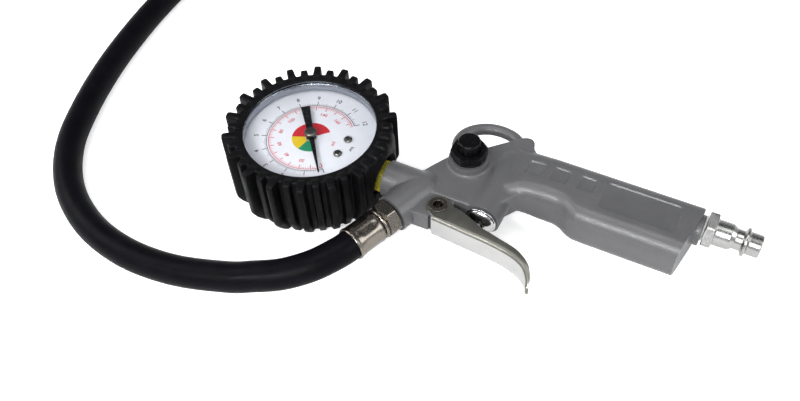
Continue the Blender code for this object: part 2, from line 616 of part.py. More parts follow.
# ---------------------------------------------------------------- hose and chuck


def hose_fittings(outlet_axis, chuck_axis):
    solid("outlet_seal", o_ring(5.9, 0.3, 0.4), "seal_rubber", parent=outlet_axis)
    fitting = solid("hose_fitting", polygon(6, 14.2, 1.0, 6.4, 0.8), "nickel", parent=outlet_axis,
                    spin=math.radians(12))
    add(fitting, solid("fitting_thread", rod(4.8, -9.0, 3.0), "nickel", parent=outlet_axis))
    bead = ((0, 5.0), (6.3, 5.0), (6.3, 6.7), (6.9, 7.2), (6.9, 8.0), (6.4, 8.5), (0, 8.5))
    add(fitting, solid("fitting_bead", turned(bead), "nickel", parent=outlet_axis))
    start, end = FERRULE_START, FERRULE_START + FERRULE_LENGTH
    sleeve = ((0, start), (6.6, start), (7.0, start + 0.8), (6.9, end - 4), (7.3, end), (6.8, end),
              (6.8, end - SOCKET_DEPTH), (0, end - SOCKET_DEPTH))
    solid("hose_ferrule", turned(sleeve), "nickel", parent=outlet_axis)
    far = ((0, SOCKET_DEPTH), (6.8, SOCKET_DEPTH), (6.8, 0), (7.3, 0), (6.9, 4), (7.0, 13.2), (6.6, 14), (0, 14))
    solid("chuck_ferrule", turned(far), "nickel", parent=chuck_axis)


def hose():
    heading = Vector((*polar(1, OUTLET_HEADING), 0))
    mouth = Vector(OUTLET_RIM) + heading * (FERRULE_START + FERRULE_LENGTH)
    start = mouth - heading * (SOCKET_DEPTH - GAP)
    end = Vector(CHUCK_END)
    inside = end + Vector((SOCKET_DEPTH - GAP, 0, 0))
    route = [start, mouth, *HOSE_ROUTE, end, inside]
    wire("air_hose", smooth_line(route, 10.0), HOSE_RADIUS, "hose_rubber", 3)


def chuck(chuck_axis, lever_axis):
    """Clip-on chuck: a body with a mouth for the valve stem, and a sprung lever that works its jaw."""
    body = solid("chuck_body", turned((
        (0, 14.3), (5.2, 14.3), (5.2, 20.0), (7.6, 20.6), (7.6, 34.0), (8.4, 35.0), (8.4, 47.0), (7.9, 48.0),
        (4.4, 48.0), (4.4, 36.0), (0, 36.0))), "nickel", parent=chuck_axis)
    add(body, solid("chuck_hexagon", polygon(6, 13.6, 14.4, 19.6, 0.8), "nickel", parent=chuck_axis))
    # The chuck's local Z lies along the hose, so its local -X points up.
    for name, low, high in (("chuck_ear_low", -5.2, -3.4), ("chuck_ear_high", 3.4, 5.2)):
        ear = [(-12.4, 29.0), (-6.0, 26.4), (-6.0, 35.6), (-12.4, 33.0)]
        form = loft([[(x, side, z) for x, z in ear] for side in (low, high)])
        add(body, solid(name, form, "nickel", parent=chuck_axis))
    cut(body, solid("chuck_pin_bore", rod(1.3, -8, 8, 16), "nickel", parent=chuck_axis, at=(-10.2, 0, 31.0),
                    along=(0, 1, 0)))
    solid("chuck_seal", ring(2.2, 4.1, 36.3, 38.8, 20), "seal_rubber", parent=chuck_axis)
    solid("chuck_pin", rod(1.0, -6.0, 6.0, 16), "nickel", parent=lever_axis.parent, at=(-10.2, 0, 31.0),
          along=(0, 1, 0))
    # Lever outline in its pivot's frame: first value up, second value towards the mouth.
    outline = [(1.9, 1.0), (2.6, -5.0), (5.0, -20.0), (7.6, -29.6), (6.2, -30.0), (3.6, -20.4), (1.2, -6.0),
               (-1.9, -1.6), (-1.9, 1.9), (0.6, 3.2), (2.0, 14.6), (-1.4, 15.4), (-1.4, 16.8), (3.4, 16.6),
               (3.2, 3.0)]
    form = loft([[(-up, side, along) for up, along in outline] for side in (-3.0, 3.0)])
    lever = solid("chuck_lever", form, "chrome", parent=lever_axis)
    cut(lever, solid("lever_bore", rod(1.3, -8, 8, 16), "chrome", parent=lever_axis, along=(0, 1, 0)))
    wire("chuck_spring", coil(1.5, 8.2, 10.2, 3), 0.3, "spring_steel", 0, parent=chuck_axis,
         at=(0, 0, 24.5), along=(-1, 0, 0))


def build():
    clear_scene()
    pointer_axis = empty("pointer_axis")
    pivot = polar(GEAR_CENTRES, SECTOR_ANGLE)
    sector_axis = empty("sector_axis", at=(*pivot, 0))
    joint = pivot + polar(TAIL_LENGTH, TAIL_ANGLE)
    link_axis = empty("link_axis", at=(*joint, 0))
    gauge_boot()
    gauge_case()
    gauge_socket()
    bourdon_tube()
    tube_tip(joint + polar(LINK_LENGTH, LINK_ANGLE))
    movement(sector_axis, link_axis)
    dial_and_pointer(pointer_axis)

    gun_body()
    trigger(empty("trigger_axis", at=(*PIVOT, 0)))
    valve(empty("plunger_axis", at=(VALVE_X, VALVE_END_Y, STEM_Z), along=(0, 1, 0)))
    bleed_valve(empty("button_axis", at=(*BLEED, 0)))
    inlet_nipple()

    outlet_axis = empty("outlet_axis", at=OUTLET_RIM, along=(*polar(1, OUTLET_HEADING), 0))
    chuck_axis = empty("chuck_axis", at=CHUCK_END, along=(1, 0, 0))
    lever_axis = empty("lever_axis", parent=chuck_axis, at=(-10.2, 0, 31.0))
    hose_fittings(outlet_axis, chuck_axis)
    hose()
    chuck(chuck_axis, lever_axis)


build()
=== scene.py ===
"""Looks of the hand-held tyre inflator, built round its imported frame.

Lengths are in millimetres and MM turns them into metres. The gauge's axis is Z, the grip runs along
+X, the hanging ring is on the +Y side and the trigger on the -Y side.
"""

import json
import math

import bmesh
import bpy
from mathutils import Matrix, Quaternion, Vector


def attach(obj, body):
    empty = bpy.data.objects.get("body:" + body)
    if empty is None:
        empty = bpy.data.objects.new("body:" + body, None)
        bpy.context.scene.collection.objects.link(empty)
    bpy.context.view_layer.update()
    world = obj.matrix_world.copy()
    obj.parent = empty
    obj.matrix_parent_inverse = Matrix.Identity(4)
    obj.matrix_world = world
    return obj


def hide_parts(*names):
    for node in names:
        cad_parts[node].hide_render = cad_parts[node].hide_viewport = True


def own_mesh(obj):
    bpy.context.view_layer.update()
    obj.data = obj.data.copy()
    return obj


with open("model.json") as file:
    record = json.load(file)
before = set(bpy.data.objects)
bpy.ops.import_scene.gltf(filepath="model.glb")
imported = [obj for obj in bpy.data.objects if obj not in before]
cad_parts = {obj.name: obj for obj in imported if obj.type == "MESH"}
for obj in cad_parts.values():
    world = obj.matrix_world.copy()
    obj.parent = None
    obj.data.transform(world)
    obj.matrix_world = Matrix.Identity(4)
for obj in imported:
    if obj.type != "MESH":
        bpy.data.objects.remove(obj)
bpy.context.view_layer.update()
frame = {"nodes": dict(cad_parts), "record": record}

MM = 0.001
STEM_Z = 17.0  # height of the air passages' centre line
SHARP = 32.0  # edges turned by more degrees than this are shaded sharp

# Gauge and gun: places of what screws in, as the frame has them.
DIAL_TOP = 26.5
DIAL_SCREWS = ((15.6, 5.2), (15.6, -3.9))
STEM = {"at": (0, 0.5, STEM_Z), "along": (1, 0, 0)}
PORT = {"at": (37.5, 0.5, STEM_Z), "along": (1, 0, 0)}
VALVE = {"at": (82.7, -3.0, STEM_Z), "along": (0, 1, 0)}
INLET = {"at": (165.6, 31.5, STEM_Z), "along": (1, 0, 0)}
PIVOT = (65.4, -8.4)
BLEED = (66.9, 19.2, 0.0)

# Hose: the frame's own route, from inside one ferrule to inside the other.
OUTLET_RIM = Vector((47.9, -16.5, STEM_Z))
OUTLET_HEADING = math.radians(250.0)
FERRULE_START = 8.9
FERRULE_LENGTH = 14.0
SOCKET_DEPTH = 5.7
HOSE_RADIUS = 6.5
OUTLET_AIM = Vector((math.cos(OUTLET_HEADING), math.sin(OUTLET_HEADING), 0))
OUTLET = {"at": OUTLET_RIM, "along": OUTLET_AIM}
HOSE_EXIT = OUTLET_RIM + OUTLET_AIM * (FERRULE_START + FERRULE_LENGTH)
CHUCK_END = Vector((-76.0, 146.3, 8.8))
CHUCK_AXIS = {"at": CHUCK_END, "along": (1, 0, 0)}
HOSE_ROUTE = (
    (38, -43, 17), (31, -53, 16), (21, -61, 14), (10, -66, 12), (-1, -70, 10), (-25, -75.5, 7.5),
    (-50, -76.5, 6.8), (-74, -71, 6.8), (-96, -58, 6.8), (-113, -38, 6.8), (-124, -13, 6.8), (-132, 14, 6.8),
    (-137, 40, 6.8), (-140, 66, 6.8), (-140, 91, 6.8), (-132, 116, 6.8), (-115, 135, 7.2), (-92, 145, 8.2),
)


# ---------------------------------------------------------------- shapes


def polar(radius, degrees):
    turn = math.radians(degrees)
    return Vector((radius * math.cos(turn), radius * math.sin(turn)))


def smooth_step(value):
    value = max(0.0, min(1.0, value))
    return value * value * (3 - 2 * value)


def arc(centre, radius, first, last, steps):
    """Points on a circle between two angles in degrees."""
    middle = Vector(centre)
    span = last - first
    return [tuple(middle + polar(radius, first + span * step / steps)) for step in range(steps + 1)]


def eased(points, radius, steps=4, closed=True):
    """The outline with each corner rounded, by no more than its shorter side allows."""
    points = [Vector(point) for point in points]
    result = []
    for index, corner in enumerate(points):
        if not closed and index in (0, len(points) - 1):
            result.append(tuple(corner))
            continue
        before = points[index - 1] - corner
        after = points[(index + 1) % len(points)] - corner
        reach = min(radius, before.length * 0.45, after.length * 0.45)
        start, end = corner + before.normalized() * reach, corner + after.normalized() * reach
        for step in range(steps + 1):
            t = step / steps
            result.append(tuple((1 - t) ** 2 * start + 2 * t * (1 - t) * corner + t * t * end))
    return result


def smooth_line(points, spacing):
    """Evenly spaced points on a smooth curve through the given ones."""
    knots = [Vector(point) for point in points]
    ends = [2 * knots[0] - knots[1]] + knots + [2 * knots[-1] - knots[-2]]
    fine = []
    for p0, p1, p2, p3 in zip(ends, ends[1:], ends[2:], ends[3:]):
        for step in range(20):
            t = step / 20
            fine.append(p1 + 0.5 * t * (p2 - p0 + t * (2 * p0 - 5 * p1 + 4 * p2 - p3
                                                       + t * (3 * (p1 - p2) + p3 - p0))))
    fine.append(knots[-1])
    lengths = [0.0]
    for before, after in zip(fine, fine[1:]):
        lengths.append(lengths[-1] + (after - before).length)
    count = max(2, round(lengths[-1] / spacing))
    spread, index = [], 0
    for step in range(count + 1):
        goal = lengths[-1] * step / count
        while index < len(fine) - 2 and lengths[index + 1] < goal:
            index += 1
        part = (goal - lengths[index]) / (lengths[index + 1] - lengths[index])
        spread.append(fine[index].lerp(fine[index + 1], min(part, 1.0)))
    return spread


def loft(sections):
    """Skin through sections with equal point counts, capped at both ends."""
    form = bmesh.new()
    rows = [[form.verts.new(Vector(point) * MM) for point in section] for section in sections]
    for near, far in zip(rows, rows[1:]):
        for index in range(len(near)):
            after = (index + 1) % len(near)
            form.faces.new((near[index], near[after], far[after], far[index]))
    form.faces.new(rows[0])
    form.faces.new(rows[-1])
    return form


def turned(profile, sides=96):
    """Body of revolution about Z through (radius, height) points, closed along the axis or as a ring."""
    form = bmesh.new()
    points = [form.verts.new((radius * MM, 0, height * MM)) for radius, height in profile]
    edges = [form.edges.new(pair) for pair in zip(points, points[1:])]
    if profile[0][0] > 0:
        edges.append(form.edges.new((points[-1], points[0])))
    bmesh.ops.spin(form, geom=points + edges, axis=(0, 0, 1), cent=(0, 0, 0), angle=math.tau,
                   steps=sides, use_merge=True)
    bmesh.ops.remove_doubles(form, verts=form.verts, dist=1e-7)
    return form


def lathe(profile, radius=0.3, sides=96):
    """A turned body whose profile has its corners rounded."""
    on_axis = profile[0][0] == 0
    return turned(eased(profile, radius, 4, closed=not on_axis), sides)


def rod(radius, low, high, sides=64):
    return turned(((0, low), (radius, low), (radius, high), (0, high)), sides)


def washer(inner, outer, low, high, ease, sides=64):
    """Flat ring, or a disc where the inner radius is 0, with rounded edges."""
    return lathe(((inner, low), (outer, low), (outer, high), (inner, high)), ease, sides)


def prism(outline, low, high):
    """Outline in XY, raised from one height to another."""
    return loft([[(x, y, height) for x, y in outline] for height in (low, high)])


def soft_prism(outline, low, high, round_by, steps=4):
    """Prism whose top and bottom edges roll in towards the outline's middle line."""
    sections = []
    turns = [90 * step / steps for step in range(steps + 1)]
    for side, edge in ((-1, low), (1, high)):
        for turn in turns if side < 0 else reversed(turns):
            inset = round_by * (1 - math.sin(math.radians(turn)))
            drop = round_by * (1 - math.cos(math.radians(turn)))
            sections.append([(x, y, edge - side * drop) for x, y in inset_outline(outline, inset)])
    return loft(sections)


def inset_outline(outline, distance):
    """A closed outline, given anticlockwise, moved inwards."""
    moved = []
    for index, point in enumerate(outline):
        here = Vector(point)
        before = (here - Vector(outline[index - 1])).normalized()
        after = (Vector(outline[(index + 1) % len(outline)]) - here).normalized()
        inward = Vector((-(before.y + after.y), before.x + after.x))
        scale = max(inward.length_squared / 2, 0.35)
        moved.append(tuple(here + inward * (distance / scale)))
    return moved


def hexagon(across_flats, low, high, chamfer, columns=14):
    """Nut: flats with slightly rounded corners, and both ends turned to a cone."""
    corner = across_flats / 2 / math.cos(math.pi / 6)
    outline = eased([tuple(polar(corner, 60 * side + 30)) for side in range(6)], 0.5, 3)
    fine = []
    for index, point in enumerate(outline):
        here, after = Vector(point), Vector(outline[(index + 1) % len(outline)])
        parts = columns if (after - here).length > 2 else 1
        fine += [here.lerp(after, part / parts) for part in range(parts)]
    face = corner - chamfer
    flat_end = [point.normalized() * min(point.length, face - 0.02) for point in fine]
    drops = [0.58 * max(0.0, point.length - face) + 0.02 for point in fine]
    return loft([
        [(point.x, point.y, low) for point in flat_end],
        [(point.x, point.y, low + drop) for point, drop in zip(fine, drops)],
        [(point.x, point.y, high - drop) for point, drop in zip(fine, drops)],
        [(point.x, point.y, high) for point in flat_end],
    ])


def tube_along(line, radius, around=24):
    """Round bar along a line that bends only in XY."""
    sections = []
    for index, point in enumerate(line):
        run = (line[min(index + 1, len(line) - 1)] - line[max(index - 1, 0)]).normalized()
        side = Vector((run.y, -run.x, 0))
        sections.append([point + radius * (side * math.cos(math.tau * k / around)
                                           + Vector((0, 0, 1)) * math.sin(math.tau * k / around))
                         for k in range(around)])
    return loft(sections)


def placed(form, at=(0, 0, 0), along=(0, 0, 1), spin=0.0):
    """The form moved so that its Z lies along a direction, through a point."""
    facing = Vector((0, 0, 1)).rotation_difference(Vector(along).normalized())
    turn = (facing @ Quaternion((0, 0, 1), spin)).to_matrix().to_4x4()
    form.transform(Matrix.Translation(Vector(at) * MM) @ turn)
    return form


def merged(*forms):
    """One form that holds the others as separate shells."""
    whole = bmesh.new()
    for form in forms:
        bmesh.ops.recalc_face_normals(form, faces=form.faces)
        shell = bpy.data.meshes.new("shell")
        form.to_mesh(shell)
        form.free()
        whole.from_mesh(shell)
        bpy.data.meshes.remove(shell)
    return whole


def thing(name, form):
    """A plain object from a form."""
    bmesh.ops.recalc_face_normals(form, faces=form.faces)
    mesh = bpy.data.meshes.new(name)
    form.to_mesh(mesh)
    form.free()
    made = bpy.data.objects.new(name, mesh)
    bpy.context.scene.collection.objects.link(made)
    return made


def settle(made):
    """Applies every modifier of an object to its mesh."""
    graph = bpy.context.evaluated_depsgraph_get()
    mesh = bpy.data.meshes.new_from_object(made.evaluated_get(graph))
    made.modifiers.clear()
    made.data = mesh


def combined(made, other, operation, solver="EXACT"):
    """Boolean of an object with another, which it uses up, applied to its mesh."""
    change = made.modifiers.new("join", "BOOLEAN")
    change.operation = operation
    change.solver = solver
    change.object = other
    settle(made)
    bpy.data.objects.remove(other)


def joined(made, forms, operation, solver="EXACT"):
    """Boolean of an object with each form in turn."""
    for form in forms:
        combined(made, thing("tool", form), operation, solver)


def piece(made, look, nodes=(), body="gun", sharp=SHARP):
    """Gives an object its finish and shading, and makes it ride on a body in place of its CAD nodes.
    """
    mesh = made.data
    if made.type == "MESH":
        mesh.materials.clear()
        mesh.materials.append(look)
        mesh.shade_smooth()
        mesh.set_sharp_from_angle(angle=math.radians(sharp))
    else:
        mesh.materials.append(look)
    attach(made, body)
    if nodes:
        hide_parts(*nodes)
    return made


# ---------------------------------------------------------------- finishes


class Finish:
    """A Principled material that is built up in layers. Its scales are in repeats per metre."""

    def __init__(self, name, colour, roughness, metallic=0.0, specular=0.5):
        self.material = bpy.data.materials.new(name)
        self.material.use_nodes = True
        self.tree = self.material.node_tree
        self.shader = self.tree.nodes["Principled BSDF"]
        self.colour = colour
        self.roughness = roughness
        self.set("Base Color", (*colour, 1.0))
        self.set("Roughness", roughness)
        self.set("Metallic", metallic)
        self.set("Specular IOR Level", specular)
        self.place = self.tree.nodes.new("ShaderNodeTexCoord").outputs["Object"]
        self.tint = None
        self.gloss = None
        self.relief = None

    def set(self, socket, value):
        self.shader.inputs[socket].default_value = value

    def node(self, kind, **inputs):
        made = self.tree.nodes.new(kind)
        for name, value in inputs.items():
            socket = made.inputs[name.replace("_", " ")]
            if isinstance(value, bpy.types.NodeSocket):
                self.tree.links.new(value, socket)
            else:
                socket.default_value = value
        return made

    def noise(self, scale, detail=3.0, stretch=(1, 1, 1)):
        where = self.node("ShaderNodeMapping", Vector=self.place, Scale=stretch).outputs["Vector"]
        return self.node("ShaderNodeTexNoise", Vector=where, Scale=scale, Detail=detail).outputs["Fac"]

    def spread(self, value, low, high, to_low=0.0, to_high=1.0):
        """The value's range from low to high, stretched to another range and held there."""
        made = self.node("ShaderNodeMapRange", Value=value)
        for name, amount in (("From Min", low), ("From Max", high), ("To Min", to_low), ("To Max", to_high)):
            made.inputs[name].default_value = amount
        return made.outputs["Result"]

    def patches(self, scale, detail, low, high, amount=1.0, stretch=(1, 1, 1)):
        """Noise between two of its levels, as a mask from 0 to an amount."""
        return self.spread(self.noise(scale, detail, stretch), low, high, 0.0, amount)

    def edges(self, width, amount=1.0):
        """1 on sharp convex and concave edges, and 0 on flat ground."""
        rounded = self.node("ShaderNodeBevel", Radius=width * MM)
        rounded.samples = 4
        plain = self.tree.nodes.new("ShaderNodeNewGeometry").outputs["Normal"]
        dot = self.tree.nodes.new("ShaderNodeVectorMath")
        dot.operation = "DOT_PRODUCT"
        self.tree.links.new(rounded.outputs["Normal"], dot.inputs[0])
        self.tree.links.new(plain, dot.inputs[1])
        return self.spread(dot.outputs["Value"], 0.98, 0.80, 0.0, amount)

    def paint(self, mask, colour):
        """Lays a colour over what is there, where the mask is 1."""
        mix = self.tree.nodes.new("ShaderNodeMix")
        mix.data_type = "RGBA"
        self.tree.links.new(mask, mix.inputs["Factor"])
        if self.tint is None:
            mix.inputs[6].default_value = (*self.colour, 1.0)
        else:
            self.tree.links.new(self.tint, mix.inputs[6])
        mix.inputs[7].default_value = (*colour, 1.0)
        self.tint = mix.outputs[2]
        return self

    def dull(self, mask, amount):
        """Adds to the roughness where the mask is 1."""
        change = self.tree.nodes.new("ShaderNodeMath")
        change.operation = "MULTIPLY_ADD"
        change.use_clamp = True
        self.tree.links.new(mask, change.inputs[0])
        change.inputs[1].default_value = amount
        if self.gloss is None:
            change.inputs[2].default_value = self.roughness
        else:
            self.tree.links.new(self.gloss, change.inputs[2])
        self.gloss = change.outputs[0]
        return self

    def bump(self, height, depth):
        """Relief of so many millimetres from lowest to highest."""
        made = self.node("ShaderNodeBump", Height=height, Distance=depth * MM)
        if self.relief is not None:
            self.tree.links.new(self.relief, made.inputs["Normal"])
        self.relief = made.outputs["Normal"]
        return self

    def done(self):
        for source, socket in ((self.tint, "Base Color"), (self.gloss, "Roughness"), (self.relief, "Normal")):
            if source is not None:
                self.tree.links.new(source, self.shader.inputs[socket])
        return self.material


def cast_paint():
    """Semi-matte grey powder coat over a die casting: orange peel, fine grain, rubbed edges."""
    made = Finish("cast_paint", (0.075, 0.075, 0.078), 0.29, 0.0, 0.5)
    made.paint(made.patches(90, 4, 0.35, 0.7), (0.084, 0.084, 0.088))
    made.paint(made.patches(5200, 2, 0.55, 0.75, 0.35), (0.17, 0.17, 0.175))
    made.paint(made.patches(4100, 2, 0.30, 0.18, 0.5), (0.055, 0.055, 0.058))
    made.paint(made.edges(0.35, 0.28), (0.21, 0.21, 0.215))
    made.dull(made.patches(700, 4, 0.3, 0.7), 0.12)
    made.bump(made.noise(420, 2), 0.035)
    made.bump(made.noise(1700, 3), 0.10)
    return made.done()


def black_rubber():
    """Moulded rubber with a dull bloom, faint flow marks and scuffed edges."""
    made = Finish("black_rubber", (0.0022, 0.0022, 0.0026), 0.36, 0.0, 0.09)
    made.paint(made.patches(260, 5, 0.45, 0.75, 0.7), (0.0045, 0.0045, 0.0058))
    made.paint(made.edges(0.4, 0.18), (0.03, 0.03, 0.034))
    made.paint(made.patches(2600, 3, 0.68, 0.80, 0.3), (0.05, 0.05, 0.05))
    made.dull(made.patches(180, 4, 0.3, 0.7), 0.16)
    made.bump(made.noise(2600, 3), 0.018)
    made.bump(made.noise(160, 2), 0.08)
    return made.done()


def hose_rubber():
    """Extruded hose: smooth skin with a faint waviness and a little dust."""
    made = Finish("hose_rubber", (0.002, 0.002, 0.003), 0.32, 0.0, 0.05)
    made.paint(made.patches(120, 5, 0.4, 0.75, 0.8), (0.0035, 0.0035, 0.0055))
    made.paint(made.patches(1900, 3, 0.66, 0.80, 0.35), (0.05, 0.05, 0.052))
    made.dull(made.patches(150, 5, 0.3, 0.7), 0.16)
    made.bump(made.noise(1500, 4), 0.02)
    made.bump(made.noise(70, 2), 0.12)
    return made.done()


def seal_rubber():
    made = Finish("seal_rubber", (0.018, 0.018, 0.018), 0.55, 0.0, 0.4)
    made.paint(made.patches(900, 4, 0.5, 0.75), (0.035, 0.034, 0.033))
    made.dull(made.patches(500, 3, 0.3, 0.7), 0.15)
    made.bump(made.noise(2500, 3), 0.02)
    return made.done()


def black_plastic():
    """Moulded black plastic, satin, with a fine spark-eroded grain."""
    made = Finish("black_plastic", (0.0018, 0.0018, 0.0022), 0.17, 0.0, 0.2)
    made.paint(made.patches(1400, 3, 0.62, 0.8, 0.4), (0.012, 0.012, 0.013))
    made.paint(made.edges(0.25, 0.15), (0.05, 0.05, 0.052))
    made.dull(made.patches(600, 4, 0.3, 0.7), 0.18)
    made.bump(made.noise(3400, 2), 0.012)
    return made.done()


def clear_plastic():
    """Window: clear to look through, with the sheen of a polished sheet."""
    made = Finish("clear_plastic", (0.92, 0.94, 0.96), 0.03, 0.0, 0.5)
    made.dull(made.patches(120, 5, 0.5, 0.8), 0.05)
    surface = made.done()
    tree = made.tree
    clear = tree.nodes.new("ShaderNodeBsdfTransparent")
    clear.inputs["Color"].default_value = (0.985, 0.992, 0.996, 1.0)
    shine = tree.nodes.new("ShaderNodeLayerWeight")
    shine.inputs["Blend"].default_value = 0.22
    mix = tree.nodes.new("ShaderNodeMixShader")
    made.set("Metallic", 1.0)
    tree.links.new(made.spread(shine.outputs["Fresnel"], 0.0, 1.0, 0.0, 0.55), mix.inputs["Fac"])
    tree.links.new(clear.outputs["BSDF"], mix.inputs[1])
    tree.links.new(made.shader.outputs["BSDF"], mix.inputs[2])
    tree.links.new(mix.outputs["Shader"], tree.nodes["Material Output"].inputs["Surface"])
    return surface


def white_print():
    """Lacquered white dial, very slightly mottled."""
    made = Finish("white_print", (0.70, 0.70, 0.745), 0.4, 0.0, 0.4)
    made.paint(made.patches(240, 4, 0.3, 0.8), (0.75, 0.75, 0.79))
    made.dull(made.patches(900, 3, 0.3, 0.7), 0.1)
    made.bump(made.noise(3000, 2), 0.006)
    return made.done()


def ink(name, colour):
    """Screen-printed ink: slightly uneven cover over the dial."""
    made = Finish(name, colour, 0.5, 0.0, 0.35)
    lighter = tuple(0.85 * channel + 0.06 for channel in colour)
    made.paint(made.patches(5000, 2, 0.5, 0.85, 0.5), lighter)
    made.dull(made.noise(1500, 2), 0.1)
    made.bump(made.noise(4000, 2), 0.004)
    return made.done()


def metal(name, colour, roughness, dark, bump=0.006, stretch=(1, 1, 1), scratches=0.12):
    """Bare or plated metal: fine lines, dull patches, and grime that gathers in patches."""
    made = Finish(name, colour, roughness, 1.0)
    made.paint(made.patches(130, 5, 0.5, 0.8, 0.4), dark)
    made.dull(made.patches(140, 5, 0.35, 0.75), 0.08)
    made.dull(made.patches(2600, 4, 0.45, 0.75, 1.0, stretch), scratches)
    made.bump(made.noise(2600, 4, stretch), bump)
    made.bump(made.noise(350, 2), bump * 2)
    return made


def case_steel():
    return metal("case_steel", (0.36, 0.38, 0.42), 0.20, (0.24, 0.25, 0.29), stretch=(0.05, 0.05, 1)).done()


def chrome():
    return metal("chrome", (0.50, 0.50, 0.50), 0.11, (0.38, 0.38, 0.375), 0.003, scratches=0.08).done()


def satin_plate():
    return metal("satin_plate", (0.40, 0.40, 0.39), 0.19, (0.30, 0.30, 0.29), 0.003, scratches=0.1).done()


def sealed_plate():
    """The plug's hexagon: the same plating, with pale sealant dried in specks on it."""
    made = metal("sealed_plate", (0.34, 0.34, 0.335), 0.27, (0.28, 0.28, 0.27), 0.003, scratches=0.1)
    made.paint(made.patches(2200, 5, 0.50, 0.60, 0.6), (0.72, 0.72, 0.71))
    made.dull(made.patches(2200, 5, 0.50, 0.60), 0.3)
    return made.done()


def nickel():
    made = metal("nickel", (0.21, 0.19, 0.165), 0.20, (0.155, 0.14, 0.12), 0.0008)
    made.paint(made.edges(0.25, 0.3), (0.45, 0.425, 0.385))
    return made.done()


def dark_nickel():
    made = metal("dark_nickel", (0.13, 0.122, 0.112), 0.30, (0.07, 0.066, 0.06), 0.004)
    made.paint(made.edges(0.2, 0.4), (0.26, 0.25, 0.24))
    return made.done()


def spring_steel():
    return metal("spring_steel", (0.36, 0.37, 0.39), 0.28, (0.22, 0.22, 0.23), stretch=(1, 1, 0.2)).done()


def brass():
    made = metal("brass", (0.80, 0.70, 0.09), 0.20, (0.66, 0.55, 0.07), 0.001, scratches=0.05)
    made.set("Metallic", 0.75)
    made.paint(made.edges(0.3, 0.5), (0.90, 0.76, 0.34))
    return made.done()


def zinc_steel():
    """Stamped plated steel: rolling lines along the strip, and a yellowish cast on the cheeks."""
    made = metal("zinc_steel", (0.19, 0.187, 0.166), 0.33, (0.155, 0.152, 0.13), 0.002, (0.4, 1, 1), 0.08)
    made.paint(made.edges(0.3, 0.45), (0.55, 0.56, 0.57))
    return made.done()


def polished_steel():
    """The trigger's finger face: the plated steel painted brighter, a painted reflection of the pale floor
    and lamps on that side.
    """
    return metal("polished_steel", (0.52, 0.52, 0.515), 0.42, (0.43, 0.43, 0.415), 0.004, (0.12, 1, 1)).done()


def ptfe_tape():
    """Wound tape: ragged lines round the thread."""
    made = Finish("ptfe_tape", (0.80, 0.80, 0.78), 0.7, 0.0, 0.4)
    made.paint(made.patches(1800, 4, 0.45, 0.7), (0.48, 0.48, 0.48))
    made.dull(made.noise(900, 3), 0.15)
    made.bump(made.noise(1300, 3, (4, 1, 1)), 0.12)
    return made.done()


def all_finishes():
    made = {build.__name__: build() for build in (
        cast_paint, black_rubber, hose_rubber, seal_rubber, black_plastic, clear_plastic, white_print,
        case_steel, chrome, satin_plate, sealed_plate, nickel, dark_nickel, spring_steel, brass,
        zinc_steel, polished_steel, ptfe_tape)}
    made["ink_black"] = ink("ink_black", (0.02, 0.02, 0.025))
    made["ink_red"] = ink("ink_red", (0.55, 0.035, 0.06))
    made["zone_green"] = ink("zone_green", (0.005, 0.22, 0.10))
    made["zone_yellow"] = ink("zone_yellow", (0.68, 0.46, 0.01))
    made["zone_red"] = ink("zone_red", (0.52, 0.008, 0.018))
    return made


# ---------------------------------------------------------------- camera, hose, stage


def camera():
    """Looks down on the gun from the trigger's side, level with its length but for a slight roll."""
    made = bpy.data.objects.new("camera", bpy.data.cameras.new("camera"))
    bpy.context.scene.collection.objects.link(made)
    made.data.lens = 38.25
    made.data.sensor_width = 36.0
    made.data.clip_start = 0.02
    made.data.clip_end = 20.0
    place, target = Vector((161.06, -208.23, 294.44)), Vector((47.70, -8.61, 17.0))
    roll = math.radians(-3.25)
    made.location = place * MM
    made.rotation_mode = "QUATERNION"
    made.rotation_quaternion = (target - place).to_track_quat("-Z", "Y") @ Quaternion((0, 0, 1), roll)
    bpy.context.scene.camera = made


def hose(looks):
    """The hose on its whole route, as one round bar with a point every 2 mm."""
    inside = CHUCK_END + Vector((SOCKET_DEPTH, 0, 0))
    route = [HOSE_EXIT - OUTLET_AIM * SOCKET_DEPTH, HOSE_EXIT, *HOSE_ROUTE, CHUCK_END, inside]
    points = smooth_line(route, 2.0)
    path = bpy.data.curves.new("hose", "CURVE")
    path.dimensions = "3D"
    path.bevel_depth = HOSE_RADIUS * MM
    path.bevel_resolution = 10
    path.use_fill_caps = True
    line = path.splines.new("POLY")
    line.points.add(len(points) - 1)
    for knot, point in zip(line.points, points):
        knot.co = (*(point * MM), 1.0)
    line.use_smooth = True
    made = bpy.data.objects.new("hose", path)
    bpy.context.scene.collection.objects.link(made)
    return piece(made, looks["hose_rubber"], ["air_hose"])


def area_light(name, place, target, size, power):
    lamp = bpy.data.lights.new(name, "AREA")
    lamp.shape = "RECTANGLE"
    lamp.size, lamp.size_y = size
    lamp.energy = power
    made = bpy.data.objects.new(name, lamp)
    bpy.context.scene.collection.objects.link(made)
    made.location = place
    made.rotation_mode = "QUATERNION"
    made.rotation_quaternion = (Vector(target) - Vector(place)).to_track_quat("-Z", "Y")


